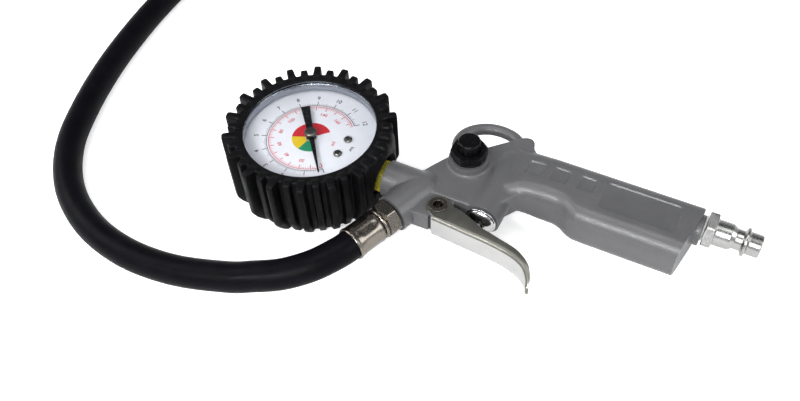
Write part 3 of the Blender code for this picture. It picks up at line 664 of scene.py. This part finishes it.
def stage():
    """Pale floor and backdrop, reflected surroundings that darken upwards, and large soft lights."""
    form = bmesh.new()
    bmesh.ops.create_grid(form, x_segments=1, y_segments=1, size=6.0)
    floor = thing("floor", form)
    floor.location.z = -0.0002
    paper = Finish("floor_paper", (0.90, 0.90, 0.90), 0.8, 0.0, 0.1)
    paper.paint(paper.patches(3, 2, 0.3, 0.7), (0.91, 0.91, 0.91))
    paper.set("Emission Color", (1.0, 1.0, 1.0, 1.0))
    lit = paper.tree.nodes.new("ShaderNodeLightPath").outputs["Is Camera Ray"]
    paper.tree.links.new(paper.spread(lit, 0.0, 1.0, 0.0, 0.55), paper.shader.inputs["Emission Strength"])
    floor.data.materials.append(paper.done())
    world = bpy.data.worlds.new("studio")
    bpy.context.scene.world = world
    world.use_nodes = True
    tree = world.node_tree
    where = tree.nodes.new("ShaderNodeTexCoord")
    axes = tree.nodes.new("ShaderNodeSeparateXYZ")
    fade = tree.nodes.new("ShaderNodeMapRange")
    for name, amount in (("From Min", 0.05), ("From Max", 0.75), ("To Min", 0.85), ("To Max", 0.10)):
        fade.inputs[name].default_value = amount
    tree.links.new(where.outputs["Generated"], axes.inputs["Vector"])
    tree.links.new(axes.outputs["Z"], fade.inputs["Value"])
    seen = tree.nodes.new("ShaderNodeLightPath")
    strength = tree.nodes.new("ShaderNodeMath")
    strength.operation = "MAXIMUM"
    tree.links.new(fade.outputs["Result"], strength.inputs[0])
    tree.links.new(seen.outputs["Is Camera Ray"], strength.inputs[1])
    tree.links.new(strength.outputs["Value"], tree.nodes["Background"].inputs["Strength"])
    tree.nodes["Background"].inputs["Color"].default_value = (0.94, 0.97, 1.0, 1.0)
    area_light("key", (0.25, -0.95, 0.95), (0.04, 0.0, 0.0), (1.1, 0.7), 8.5)
    area_light("strip", (0.04, -0.78, 0.66), (0.12, 0.0, 0.02), (0.7, 0.05), 8.0)
    area_light("left", (-0.95, -0.25, 0.85), (0.0, 0.0, 0.0), (0.8, 0.8), 8.0)
    area_light("right", (1.1, 0.1, 0.75), (0.08, 0.0, 0.0), (0.7, 0.7), 6.0)
    area_light("top", (0.0, 0.1, 1.6), (0.0, 0.0, 0.0), (0.7, 0.7), 7.0)
    bpy.context.scene.view_settings.view_transform = "Standard"


# ---------------------------------------------------------------- gauge

BOOT_PAIRS = 18
BOOT_FIRST = 15.0  # direction of one tall tooth, in degrees
TOOTH_HALF = (  # degrees from a tooth's middle, and how far up its side
    (0.0, 1.0), (1.4, 1.0), (2.0, 0.97), (2.35, 0.85), (2.7, 0.5), (3.05, 0.15), (3.4, 0.03), (3.9, 0.0),
)
TOOTH_SHAPE = [(-5.0, 0.0)] + [(-turn, share) for turn, share in TOOTH_HALF[:0:-1]] + list(TOOTH_HALF)


def boot_radius(degrees, share, tall, short, root, collar):
    """How far the boot's skin is from its axis, with the smooth collar round the stem at 0 degrees."""
    away = abs((degrees + 180) % 360 - 180)
    plain = smooth_step((25.0 - away) / 5.0)
    number = round((degrees - BOOT_FIRST) / (180 / BOOT_PAIRS))
    tip = tall if number % 2 == 0 else short
    toothed = root + (tip - root) * share
    return toothed + (collar - toothed) * plain


def gauge_boot(looks):
    levels = (  # height at a tooth, height between teeth, tall, short, root, collar
        (0.0, 0.0, 31.3, 31.0, 30.2, 31.3), (0.05, 0.05, 31.8, 31.4, 30.5, 31.9),
        (0.3, 0.3, 32.2, 31.8, 30.7, 32.3), (0.8, 0.8, 32.8, 32.3, 31.0, 32.8),
        (3.0, 3.0, 34.6, 33.6, 31.6, 33.9), (6.0, 6.0, 36.7, 34.9, 32.2, 35.5),
        (8.4, 8.4, 37.85, 35.7, 32.8, 36.6), (9.2, 9.2, 38.1, 35.88, 32.9, 36.9),
        (10.5, 10.5, 38.2, 35.9, 33.0, 37.1), (20.0, 20.0, 38.2, 35.9, 33.2, 37.2),
        (30.0, 30.0, 38.2, 35.9, 33.2, 37.0), (32.6, 32.2, 38.15, 35.85, 33.15, 36.6),
        (33.5, 32.9, 38.1, 35.8, 33.05, 36.2), (34.0, 33.3, 37.8, 35.5, 32.8, 35.6),
        (34.25, 33.45, 37.3, 35.0, 32.5, 34.9), (34.3, 33.5, 35.2, 33.7, 32.2, 33.6),
        (34.2, 33.5, 32.7, 32.4, 31.9, 32.4), (33.9, 33.5, 31.7, 31.6, 31.5, 31.6),
    )
    inside = (  # height, radius
        (33.5, 30.9), (33.45, 29.6), (33.3, 29.15), (32.95, 28.95), (32.7, 28.95), (32.7, 31.2), (3.0, 31.2))
    sections = []
    for high, low, *radii in [*levels, *((height, height) + (radius,) * 4 for height, radius in inside)]:
        section = []
        for tooth in range(2 * BOOT_PAIRS):
            for offset, share in TOOTH_SHAPE:
                degrees = BOOT_FIRST + 180 * tooth / BOOT_PAIRS + offset
                radius = boot_radius(degrees, share, *radii)
                section.append((*polar(radius, degrees), low + (high - low) * share))
        sections.append(section)
    made = thing("boot", loft(sections))
    opening = lathe(((0, 27.0), (8.8, 27.0), (8.8, 33.4), (12.0, 37.4), (12.0, 46.0), (0, 46.0)), 0.6)
    joined(made, [placed(opening, **STEM, spin=0.02)], "DIFFERENCE")
    piece(made, looks["black_rubber"], ["gauge_boot"], sharp=38)


def gauge_case(looks):
    """Drawn steel can, the ring that holds the dial down, and the window."""
    wall = ((0, 3.3), (29.9, 3.3), (30.9, 4.3), (30.9, 30.6), (30.9, 32.4), (30.2, 32.4), (30.2, 4.5),
            (0, 4.5))
    can = thing("case", lathe(wall, 0.4))
    joined(can, [placed(rod(7.6, 24.0, 40.0), **STEM)], "DIFFERENCE")
    piece(can, looks["case_steel"], ["gauge_case"])
    ring = ((29.9, 26.8), (29.9, 30.9), (29.5, 30.9), (29.1, 30.3), (29.1, 27.2), (29.4, 26.8))
    piece(thing("dial_ring", lathe(ring, 0.2, 128)), looks["case_steel"], ["bezel_ring"])
    piece(thing("window", washer(0, 29.9, 31.2, 32.4, 0.25, 128)), looks["clear_plastic"], ["gauge_lens"])


def gauge_socket(looks):
    """Brass block, its hexagon between the case and the gun, and the thread."""
    block = eased(((13, -6.5), (29.4, -6.5), (29.4, 6.5), (13, 6.5)), 0.5)
    made = thing("socket", prism(block, 13.0, 21.0))
    stem = [(0, 28.0), (7.2, 28.0), (7.2, 33.0), (4.8, 33.0), (4.8, 37.6)]
    for turn in range(7):
        low = 37.8 + 1.2 * turn
        stem += [(4.35, low), (4.8, low + 0.45), (4.8, low + 0.6), (4.35, low + 1.1)]
    stem += [(4.2, 46.6), (0, 46.6)]
    forms = [placed(turned(stem, 48), **STEM), placed(hexagon(14.0, 32.6, 37.2, 0.8), **STEM, spin=0.1)]
    for x, y in DIAL_SCREWS:
        forms.append(placed(rod(2.3, 20.0, 25.6, 32), (x, y, 0), spin=0.07))
    joined(made, forms, "UNION")
    bores = [placed(rod(1.2, 21.6, 28.0, 24), (x, y, 0)) for x, y in DIAL_SCREWS]
    bores += [placed(rod(1.2, 12.0, 16.5, 24), (18, y, 0)) for y in (-3.5, 3.5)]
    joined(made, bores, "DIFFERENCE")
    piece(made, looks["brass"], ["gauge_socket"], sharp=24)


BAR_FULL = 12
ZERO_AT = -45.0
SWEEP = 270.0
PSI_PER_BAR = 14.5038
POINTER_REST = math.radians(-51)


def on_scale(bar):
    """Direction of a pressure on the dial, in degrees."""
    return ZERO_AT - SWEEP * bar / BAR_FULL


def mark(radius_in, radius_out, degrees, width, low, high):
    """Straight tick along a radius."""
    half = width / 2
    outline = [(radius_in, -half), (radius_out, -half), (radius_out, half), (radius_in, half)]
    return placed(prism(outline, low, high), spin=math.radians(degrees))


def band(inner, outer, first, last, low, high):
    """Part of a flat ring between two directions in degrees."""
    steps = max(2, round(abs(last - first) / 2.5))
    outline = arc((0, 0), outer, first, last, steps) + arc((0, 0), inner, last, first, steps)
    return prism(outline, low, high)


def words(text, size, radius, degrees, low, high):
    """Lettering centred at a place on the dial, its top pointing outwards."""
    made = bpy.data.curves.new("words", "FONT")
    made.body = text
    made.size = size * MM
    made.align_x = "CENTER"
    made.align_y = "CENTER"
    made.offset = 0.012 * size * MM
    made.extrude = (high - low) / 2 * MM
    holder = bpy.data.objects.new("words", made)
    bpy.context.scene.collection.objects.link(holder)
    mesh = bpy.data.meshes.new_from_object(holder.evaluated_get(bpy.context.evaluated_depsgraph_get()))
    form = bmesh.new()
    form.from_mesh(mesh)
    bpy.data.objects.remove(holder)
    place = Matrix.Translation(Vector((*polar(radius, degrees), (low + high) / 2)) * MM)
    form.transform(place @ Matrix.Rotation(math.radians(degrees - 90), 4, "Z"))
    return form


def dial(looks):
    face = thing("dial", washer(2.2, 29.9, DIAL_TOP - 0.6, DIAL_TOP, 0.12, 128))
    holes = [placed(rod(1.25, 25.0, 28.0, 24), (x, y, 0)) for x, y in DIAL_SCREWS]
    joined(face, holes, "DIFFERENCE")
    piece(face, looks["white_print"], ["gauge_dial"])
    low, high = DIAL_TOP - 0.01, DIAL_TOP + 0.03

    black = [band(19.5, 19.75, on_scale(0), on_scale(BAR_FULL), low, high)]
    for tenth in range(10 * BAR_FULL + 1):
        longest = 22.1 if tenth % 10 == 0 else 21.2 if tenth % 5 == 0 else 20.6
        width = 0.34 if tenth % 10 == 0 else 0.17
        black.append(mark(19.6, longest, on_scale(tenth / 10), width, low, high))
    for bar in range(BAR_FULL + 1):
        black.append(words(str(bar), 2.9, 24.4, on_scale(bar), low, high))
    black.append(words("bar", 2.3, 19.6, 3.0, low, high))
    piece(thing("bar_scale", merged(*black)), looks["ink_black"])

    red = [band(18.65, 18.95, on_scale(0), on_scale(BAR_FULL), low, high)]
    for psi in range(0, int(BAR_FULL * PSI_PER_BAR) + 1, 2):
        longest = 16.5 if psi % 10 == 0 else 17.6
        width = 0.36 if psi % 10 == 0 else 0.19
        red.append(mark(longest, 18.8, on_scale(psi / PSI_PER_BAR), width, low, high))
    for psi in range(20, 161, 20):
        red.append(words(str(psi), 2.4, 14.1, on_scale(psi / PSI_PER_BAR), low, high))
    red.append(words("psi", 2.4, 11.0, 3.0, low, high))
    piece(thing("psi_scale", merged(*red)), looks["ink_red"])

    zones = (("green", on_scale(0), -101.0), ("yellow", -101.0, -157.5), ("red", -157.5, -315.0))
    for name, first, last in zones:
        sector = band(2.6, 8.6, first, last, low, high)
        piece(thing(f"zone_{name}", sector), looks[f"zone_{name}"])


def dial_screws(looks):
    """Cross-slotted heads, dark with a bright recess."""
    profile = ((0, 22.2), (0.85, 22.2), (0.85, 26.8), (1.85, 26.8), (1.85, 27.3), (1.35, 27.8), (0, 27.9))
    for number, (x, y) in enumerate(DIAL_SCREWS, 1):
        made = thing(f"dial_fixing_{number}", placed(lathe(profile, 0.15, 48), (x, y, 0)))
        slots = [placed(prism(((-1.1, -0.2), (1.1, -0.2), (1.1, 0.2), (-1.1, 0.2)), 27.35, 29), (x, y, 0),
                        spin=0.5 + number + quarter) for quarter in (0, math.pi / 2)]
        joined(made, slots, "DIFFERENCE")
        piece(made, looks["dark_nickel"], [f"dial_screw_{number}"])


def pointer(looks):
    """Black needle with a broad tail, and its cap."""
    side = [(22.6, 0.3), (2.6, 1.1), (1.4, 1.9), (-1.4, 1.9), (-2.6, 1.35), (-17.6, 2.05)]
    mirrored = [(x, -y) for x, y in reversed(side)]
    outline = mirrored[-1:] + [(22.7, 0)] + side + mirrored[:-1]
    form = soft_prism(eased(outline, 0.25, 3), 28.0, 28.6, 0.12, 3)
    blade = thing("needle", placed(form, spin=POINTER_REST))
    joined(blade, [washer(0, 2.0, 27.4, 28.75, 0.1, 48)], "UNION")
    joined(blade, [rod(0.9, 26.0, 30.0, 32)], "DIFFERENCE")
    piece(blade, looks["black_plastic"], ["gauge_pointer"], body="pointer")
    profile = ((0, 29.75), (0.95, 29.75), (0.95, 29.0), (2.85, 29.0), (2.85, 29.9), (2.3, 30.55), (0, 30.6))
    cap = thing("needle_cap", lathe(profile, 0.2, 64))
    piece(cap, looks["dark_nickel"], ["pointer_cap"], body="pointer")


# ---------------------------------------------------------------- gun

VOXEL = 0.48


def grip_sections():
    """Rounded sections along X, from inside the head to past the slanted end face."""
    # x, lowest y, highest y, half thickness
    stations = ((84, 6, 37.8, 7.2), (88, 8.6, 37.3, 7.9), (92, 11.0, 36.9, 8.9), (97, 11.7, 36.5, 9.6),
                (102, 11.7, 36.4, 10.0), (109, 11.6, 36.4, 10.0), (112, 10.6, 36.4, 10.0),
                (115, 8.6, 36.4, 10.0), (118, 7.3, 36.4, 10.0), (122, 7.1, 36.4, 10.0),
                (141, 7.1, 36.4, 10.0), (164, 7.1, 36.4, 10.0))
    slant_from, slant_to, slant = 141.0, 160.6, 0.16
    sections = []
    for x, low, high, half in stations:
        corner = min(6.5, half - 1.5)
        left, right = low + corner, high - corner
        under, over = STEM_Z - half + corner, STEM_Z + half - corner
        section = []
        for quarter, centre in enumerate(((right, over), (left, over), (left, under), (right, under))):
            section += arc(centre, corner, 90 * quarter, 90 * quarter + 90, 8)
        share = max(0.0, (x - slant_from) / (slant_to - slant_from))
        sections.append([(x + share * slant * (y - low), y, z) for y, z in section])
    return sections


def casting_shells():
    """Head plate, grip, barrels and hanging ring as separate shells, for the remesh to fuse."""
    head = [(50.5, -7), (56, -5), (58, -3), (75.5, -3), (84, -1), (88.5, 4.5), (93.5, 12), (96, 20),
            (95, 34.6), (92.4, 35.9), (90.0, 37.8), (89.0, 39.6), (88.6, 41.8), (87.2, 43.3),
            (85.0, 43.7), (82.5, 42.5), (77, 37), (69, 29), (57.5, 18.5), (51, 6.5)]
    ring_route = ((60.5, 24.5), (57.4, 28.5), (55.8, 33.2), (56.4, 38.0), (59.2, 42.2), (63.4, 45.2),
                  (68.2, 46.7), (73.0, 46.8), (78.0, 45.5), (83.0, 42.0))
    line = smooth_line([(x, y, STEM_Z) for x, y in ring_route], 1.5)
    past = 1.6  # every barrel runs past its rim, which is cut square afterwards
    return merged(
        prism(eased(head, 3.0), 11.2, 22.8),
        loft(grip_sections()),
        placed(turned(((0, -24), (6.6, -24), (8.0, -20), (8.3, -15), (8.3, past), (0, past))), **OUTLET),
        placed(turned(((0, -past), (8.1, -past), (8.1, 17), (6.5, 22), (0, 22))), **PORT),
        placed(turned(((0, -past), (7.9, -past), (7.9, 28), (7.0, 34), (5.0, 38), (0, 38))), **VALVE),
        placed(turned(((0, 16.0), (9.2, 16.0), (8.7, 24.0), (8.6, 26.6), (0, 26.6))), BLEED),
        tube_along(line, 2.65),
    )


def recess(low_x, high_x, low_y, high_y, floor=26.5, drop=0.0, wall=0.45):
    """Tool for a shallow panel in the grip's side, with sloping walls; its floor drops towards the head."""
    sections = []
    for rise, grow in ((0.0, 0.0), (0.5, wall), (2.0, wall + 1.0)):
        corners = ((low_x - grow, low_y - grow), (high_x + grow, low_y - grow),
                   (high_x + grow, high_y + grow), (low_x - grow, high_y + grow))
        sections.append([(x, y, floor + rise - drop * (high_x - x) / (high_x - low_x))
                         for x, y in eased(corners, 1.2)])
    return loft(sections)


def gun_body(looks):
    made = thing("casting", casting_shells())
    remesh = made.modifiers.new("skin", "REMESH")
    remesh.mode = "VOXEL"
    remesh.voxel_size = VOXEL * MM
    fillet = made.modifiers.new("fillet", "SMOOTH")
    fillet.factor = 0.5
    fillet.iterations = 12
    settle(made)
    end_face = prism(((158.1, -5), (190, -5), (190, 60), (150, 60), (150, 38), (159.6, 36.7), (161.9, 36.2),
                      (163.3, 35.2), (164.0, 33.8), (164.2, 32.0)), 0, 36)
    tools = [
        placed(rod(20, 0, 6, 48), **OUTLET),
        placed(rod(12, -8, 0, 48), **PORT),
        placed(rod(9.6, -8, 0, 48), **VALVE),
        placed(rod(12, 26, 33, 48), BLEED),
        placed(rod(5.2, -12, 2), **OUTLET), placed(rod(3.0, -36, -11), **OUTLET, spin=0.1),
        placed(rod(5.1, -1, 12), **PORT),
        placed(rod(5.2, -4, 37), **VALVE),
        placed(rod(1.8, 0, 24, 32), (56.5, 18.5, STEM_Z), (1, 0, 0)),
        placed(rod(3.6, 15.8, 28), BLEED),
        placed(rod(3.0, 84, 154, 32), (0, 31.5, STEM_Z), (1, 0, 0), 0.1),
        placed(rod(4.3, 152, 170), (0, 31.5, STEM_Z), (1, 0, 0)),
        placed(rod(3.3, 10, 24), (*PIVOT, 0)),
        recess(91.8, 98.3, 21.4, 28.2, 26.15, 0.9), recess(102.7, 109.4, 21.4, 28.2),
        recess(114.1, 120.5, 21.4, 28.2), recess(125.3, 155.6, 15.8, 29.3),
    ]
    boss = placed(washer(0, 6.5, 155.0, 165.6, 0.5, 96), (0, 29.7, STEM_Z), (1, 0, 0))
    joined(made, [end_face], "DIFFERENCE", "MANIFOLD")
    lug = [(55.5, -14.8), (63.9, -14.8), (63.9, -13.2)] + arc(PIVOT, 5.0, -75, 0, 8)
    lug += [(70.6, -2.0), (56, -2.0), (53.5, -9)]
    joined(made, [boss, soft_prism(eased(lug, 0.7), 12.5, 21.5, 0.4, 3)], "UNION", "MANIFOLD")
    joined(made, tools, "DIFFERENCE", "MANIFOLD")
    piece(made, looks["cast_paint"], ["gun_body"], sharp=40)


def channel_section(point, inward, height, low, high, sheet, bend, steps=6):
    """One cross-section of the trigger: a finger face with a rolled bend up to a cheek on each side."""
    outer_bend = min(bend, height * 0.9)
    thick = min(sheet, height - 0.05)
    inner_bend = max(outer_bend - thick, 0.05)
    turns = [90 * step / steps for step in range(steps + 1)]

    def corner(offset, radius, side_low, side_high):
        near = [(offset + radius * (1 - math.sin(math.radians(turn))),
                 side_low + radius * (1 - math.cos(math.radians(turn)))) for turn in turns]
        far = [(offset + radius * (1 - math.cos(math.radians(turn))),
                side_high - radius * (1 - math.sin(math.radians(turn)))) for turn in turns]
        return near + far

    free = max(height, outer_bend + 0.02)
    outline = [(free, low), *corner(0.0, outer_bend, low, high), (free, high), (free, high - thick)]
    outline += [*reversed(corner(thick, inner_bend, low + thick, high - thick)), (free, low + thick)]
    return [(point.x + inward.x * deep, point.y + inward.y * deep, z) for deep, z in outline]


def trigger(looks):
    """Stamped channel: a curved finger face rolled up into two cheeks, with ears round the pivot."""
    low, high, sheet, bend = 11.0, 23.0, 1.2, 1.9
    knots = ((65.5, -15.5), (79, -16.5), (92, -17.5), (101, -19), (107, -21.5), (110.5, -25), (112, -28.5))
    cheek = ((0.0, 9.0), (0.13, 9.4), (0.21, 8.8), (0.41, 5.4), (0.57, 4.3), (0.72, 3.9), (0.84, 2.8),
             (0.93, 1.9), (1.0, 1.3))  # share of the face's length, height of the cheeks there
    face = smooth_line([(x, y, 0) for x, y in knots], 0.8)
    sections = []
    for index, point in enumerate(face):
        run = (face[min(index + 1, len(face) - 1)] - face[max(index - 1, 0)]).normalized()
        share = index / (len(face) - 1)
        height = next(h0 + (h1 - h0) * (share - s0) / (s1 - s0)
                      for (s0, h0), (s1, h1) in zip(cheek, cheek[1:]) if share <= s1)
        narrow = 3.9 * max(0.0, (share - 0.80) / 0.20) ** 2.4
        sections.append(channel_section(point, Vector((-run.y, run.x)), height, low + narrow, high - narrow,
                                        sheet, bend))
    made = thing("trigger_lever", loft(sections))
    ear = [(66.6, -14.6), (71.5, -14.6), (72.4, -6.7)] + arc(PIVOT, 5.0, 25, 232, 40)
    joined(made, [prism(ear, low, low + sheet), prism(ear, high - sheet, high)], "UNION")
    joined(made, [placed(rod(3.3, 5, 30), (*PIVOT, 0))], "DIFFERENCE")
    piece(made, looks["zinc_steel"], ["trigger"], body="trigger", sharp=26)
    # The faces turned towards -Y, the finger face, take the steel painted bright: a painted reflection of the
    # pale floor and lamps on that side.
    made.data.materials.append(looks["polished_steel"])
    for polygon in made.data.polygons:
        facing = polygon.normal
        outside = facing.y < -0.15 and facing.x < 0.12 and abs(facing.z) < 0.3
        if outside and polygon.center.y < -13 * MM:
            polygon.material_index = 1


def rivet(looks):
    profile = ((2.1, 10.4), (3.9, 10.4), (3.9, 10.7), (3.0, 10.7), (3.0, 23.3), (3.9, 23.3), (3.9, 23.6),
               (2.1, 23.6))
    made = thing("hollow_rivet", placed(lathe(profile, 0.12, 64), (*PIVOT, 0)))
    piece(made, looks["nickel"], ["trigger_rivet"])


def valve(looks):
    """Plug and plunger; the pieces behind them stay as they are in the frame."""
    plug = ((1.9, -3.5), (2.6, -3.5), (3.6, -3.25), (4.8, -2.75), (5.6, -2.3), (6.1, -1.75), (6.2, -1.5),
            (6.85, -1.4), (6.85, -0.3), (4.9, -0.3), (4.9, 10.0), (1.9, 10.0))
    piece(thing("valve_cap", placed(lathe(plug, 0.35), **VALVE)), looks["chrome"], ["valve_plug"])
    stem = ((0, -12.4), (1.1, -12.4), (1.5, -12.0), (1.5, 25.2), (0, 25.2))
    made = thing("plunger", placed(lathe(stem, 0.4, 48), **VALVE))
    piece(made, looks["chrome"], ["valve_plunger"], body="valve_stem")


def bleed_valve(looks):
    """Hexagonal collar and the button that slides in it."""
    collar = thing("bleed_collar", placed(hexagon(14.2, 27.0, 31.0, 1.0), BLEED))
    shank = ((0, 21.5), (3.3, 21.5), (3.3, 26.3), (6.9, 26.3), (7.4, 26.9), (7.4, 27.6), (0, 27.6))
    joined(collar, [placed(lathe(shank, 0.3), BLEED)], "UNION")
    wells = [placed(rod(5.15, 27.5, 33.0), BLEED), placed(rod(1.6, 20.0, 29.0, 32), BLEED)]
    joined(collar, wells, "DIFFERENCE")
    piece(collar, looks["black_plastic"], ["bleed_base"], sharp=24)
    cap = ((0, 20.9), (1.2, 20.9), (1.2, 33.4), (3.7, 33.4), (3.7, 29.9), (4.8, 29.9), (4.8, 35.6),
           (4.3, 36.0), (0, 36.1))
    made = thing("bleed_cap", placed(lathe(cap, 0.4), BLEED))
    piece(made, looks["black_plastic"], ["bleed_button"], body="bleed_button")


def springs(looks):
    """Compression springs, each coiled out from its fixed end."""
    # name, radius, wire's radius, length, turns, fixed end, direction, joint, share of the length kept
    each = (
        ("valve_coil", 3.7, 0.4, 7.3, 3.5, (82.7, 33.7, STEM_Z), (0, -1, 0), "plunger_push", 0.5),
        ("bleed_coil", 2.6, 0.35, 5.2, 3.5, (*BLEED[:2], 27.8), (0, 0, 1), "bleed_press", 0.6),
        ("chuck_coil", 1.5, 0.3, 2.6, 3.0, (-51.5, 146.3, 16.6), (0, 0, 1), "chuck_clip", 0.32),
    )
    made = []
    for name, radius, wire, length, turns, fixed_end, along, joint, kept in each:
        steps = round(32 * turns)
        sections = []
        for step in range(steps + 1):
            turn = math.tau * turns * step / steps
            outward = Vector((math.cos(turn), math.sin(turn), 0))
            rise = smooth_step(step / steps) * 0.5 + step / steps * 0.5
            middle = outward * radius + Vector((0, 0, wire + (length - 2 * wire) * rise))
            circle = [polar(wire, 30 * k) for k in range(12)]
            sections.append([middle + outward * across + Vector((0, 0, up)) for across, up in circle])
        coil = thing(name, placed(loft(sections), fixed_end, along))
        node = name.replace("coil", "spring")
        piece(coil, looks["spring_steel"], [node], sharp=40)
        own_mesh(coil)
        made.append(coil)
    return made


def inlet_nipple(looks):
    """Plug that a quick coupler grips, and the tape under its hexagon."""
    nose = ((2.4, -11.0), (4.0, -11.0), (4.0, 1.0), (6.4, 1.0), (6.4, 4.6), (5.5, 5.0), (5.5, 10.9),
            (4.3, 12.8), (4.3, 15.6), (6.1, 16.4), (6.1, 17.3), (4.8, 17.9), (4.8, 22.6), (4.4, 23.0),
            (2.4, 23.0))
    made = thing("air_plug", placed(lathe(nose, 0.3), **INLET))
    nut = thing("plug_nut", placed(hexagon(14.0, 0.9, 4.7, 0.9), **INLET, spin=0.12))
    joined(nut, [placed(rod(5.0, -1, 8, 48), **INLET)], "DIFFERENCE")
    combined(made, nut, "UNION")
    piece(made, looks["satin_plate"], ["inlet_nipple"], sharp=24)
    made.data.materials.append(looks["sealed_plate"])
    hexagon_end = (INLET["at"][0] + 4.75) * MM
    for polygon in made.data.polygons:
        if polygon.center.x < hexagon_end:
            polygon.material_index = 1
    wraps = [(4.35, 0.1)]
    for turn in range(3):
        wraps += [(5.5 + 0.15 * (turn % 2), 0.12 + 0.2 * turn), (5.35, 0.25 + 0.2 * turn)]
    wraps += [(4.35, 0.72)]
    piece(thing("seal_tape", placed(lathe(wraps, 0.05), **INLET)), looks["ptfe_tape"], ["nipple_tape"])


# ---------------------------------------------------------------- fittings and chuck


def crimped(start, end, flare_at_end):
    """Sleeve pressed on to the hose along eight flats, with a rolled rim at its mouth."""
    length = end - start
    outer = []
    for step in range(41):
        share = step / 40
        near_mouth = share if flare_at_end else 1 - share
        radius = 7.05
        radius -= 0.5 * (1 - smooth_step(share / 0.06)) + 0.3 * (1 - smooth_step((1 - share) / 0.04))
        radius += 0.38 * smooth_step((near_mouth - 0.86) / 0.12)
        pressed = smooth_step((share - 0.10) / 0.18) * smooth_step((0.82 - share) / 0.18)
        outer.append((radius, start + length * share, pressed))
    turns = [360 * column / 128 for column in range(128)]
    sections = []
    for radius, height, pressed in outer if flare_at_end else reversed(outer):
        waves = [0.26 * math.cos(math.radians(4 * turn)) ** 2 for turn in turns]
        sections.append([(*polar(radius - pressed * wave, turn), height)
                         for turn, wave in zip(turns, waves)])
    mouth, depth = (end, -6.0) if flare_at_end else (start, 6.0)
    sections += [[(*polar(6.62, turn), height) for turn in turns] for height in (mouth, mouth + depth)]
    return loft(sections)


def hose_fittings(looks):
    made = thing("outlet_nut", placed(hexagon(14.2, 1.0, 6.4, 1.1), **OUTLET, spin=math.radians(12)))
    bead = lathe(((0, 5.0), (6.3, 5.0), (6.3, 6.7), (6.9, 7.2), (6.9, 8.0), (6.4, 8.5), (0, 8.5)), 0.3)
    joined(made, [placed(rod(4.8, -9.0, 3.0, 48), **OUTLET), placed(bead, **OUTLET)], "UNION")
    piece(made, looks["nickel"], ["hose_fitting"], sharp=24)
    sleeve = placed(crimped(FERRULE_START, FERRULE_START + FERRULE_LENGTH, True), **OUTLET)
    piece(thing("outlet_ferrule", sleeve), looks["nickel"], ["hose_ferrule"], sharp=40)
    far = placed(crimped(0.0, FERRULE_LENGTH, False), **CHUCK_AXIS)
    return piece(thing("chuck_sleeve", far), looks["nickel"], ["chuck_ferrule"], sharp=40)


LEVER_AXIS = (-45.0, 146.3, 19.0)


def chuck(looks):
    """Clip-on chuck: knurled body with its mouth, and the sprung lever that works its jaw."""
    profile = [(0, 14.3), (5.2, 14.3), (5.2, 20.0), (7.6, 20.6)]
    for groove in range(9):
        low = 21.4 + 1.2 * groove
        profile += [(7.6, low), (7.25, low + 0.3), (7.25, low + 0.5), (7.6, low + 0.8)]
    profile += [(7.6, 34.0), (8.4, 35.0), (8.4, 47.0), (7.9, 48.0), (4.4, 48.0), (4.4, 36.0), (0, 36.0)]
    body = thing("chuck_barrel", placed(lathe(profile, 0.25), **CHUCK_AXIS))
    forms = [placed(hexagon(13.6, 14.4, 19.6, 0.8), **CHUCK_AXIS, spin=0.2)]
    for low, high in ((-5.2, -3.4), (3.4, 5.2)):
        ear = eased([(29.0, 12.4), (26.4, 6.0), (35.6, 6.0), (33.0, 12.4)], 1.0)
        forms.append(loft([[CHUCK_END + Vector((along, side, up)) for along, up in ear]
                           for side in (low, high)]))
    joined(body, forms, "UNION")
    pin_bore = placed(rod(1.3, -8, 8, 32), LEVER_AXIS, (0, 1, 0))
    joined(body, [pin_bore], "DIFFERENCE")
    piece(body, looks["nickel"], ["chuck_body"])
    pin = thing("lever_pin", placed(washer(0, 1.0, -6.0, 6.0, 0.25, 48), LEVER_AXIS, (0, 1, 0)))
    piece(pin, looks["dark_nickel"], ["chuck_pin"])
    outline = [(1.9, 1.0), (2.6, -5.0), (5.0, -20.0), (7.6, -29.6), (6.2, -30.0), (3.6, -20.4), (1.2, -6.0),
               (-1.9, -1.6), (-1.9, 1.9), (0.6, 3.2), (2.0, 14.6), (-1.4, 15.4), (-1.4, 16.8), (3.4, 16.6),
               (3.2, 3.0)]
    smooth = eased([(along, up) for up, along in outline], 0.9)
    lever_form = soft_prism(smooth, -3.0, 3.0, 0.3, 3)
    lever_form.transform(Matrix.Translation(Vector(LEVER_AXIS) * MM) @ Matrix.Rotation(math.pi / 2, 4, "X"))
    lever = thing("clip_lever", lever_form)
    joined(lever, [placed(rod(1.3, -8, 8, 32), LEVER_AXIS, (0, 1, 0))], "DIFFERENCE")
    piece(lever, looks["chrome"], ["chuck_lever"], body="chuck_lever")
    seal = thing("chuck_washer", placed(washer(2.2, 4.1, 36.3, 38.8, 0.3), **CHUCK_AXIS))
    piece(seal, looks["seal_rubber"], ["chuck_seal"])
    return [body, pin, lever, seal]


def carried_over(looks):
    """The frame's inner pieces keep their shapes and take the finish of their material slot."""
    slots = {entry["node"]: entry["material_slot"] for entry in frame["record"]["subparts"]}
    for name, node in frame["nodes"].items():
        if node.hide_render:
            continue
        node.data.materials.clear()
        node.data.materials.append(looks[slots[name]])
        node.data.shade_smooth()
        node.data.set_sharp_from_angle(angle=math.radians(SHARP))


camera()
LOOKS = all_finishes()
HOSE = hose(LOOKS)
stage()
CHUCK_SLEEVE = hose_fittings(LOOKS)
CHUCK = chuck(LOOKS)
SPRINGS = springs(LOOKS)
gauge_boot(LOOKS)
gauge_case(LOOKS)
gauge_socket(LOOKS)
dial(LOOKS)
dial_screws(LOOKS)
pointer(LOOKS)
gun_body(LOOKS)
trigger(LOOKS)
rivet(LOOKS)
valve(LOOKS)
bleed_valve(LOOKS)
inlet_nipple(LOOKS)
carried_over(LOOKS)
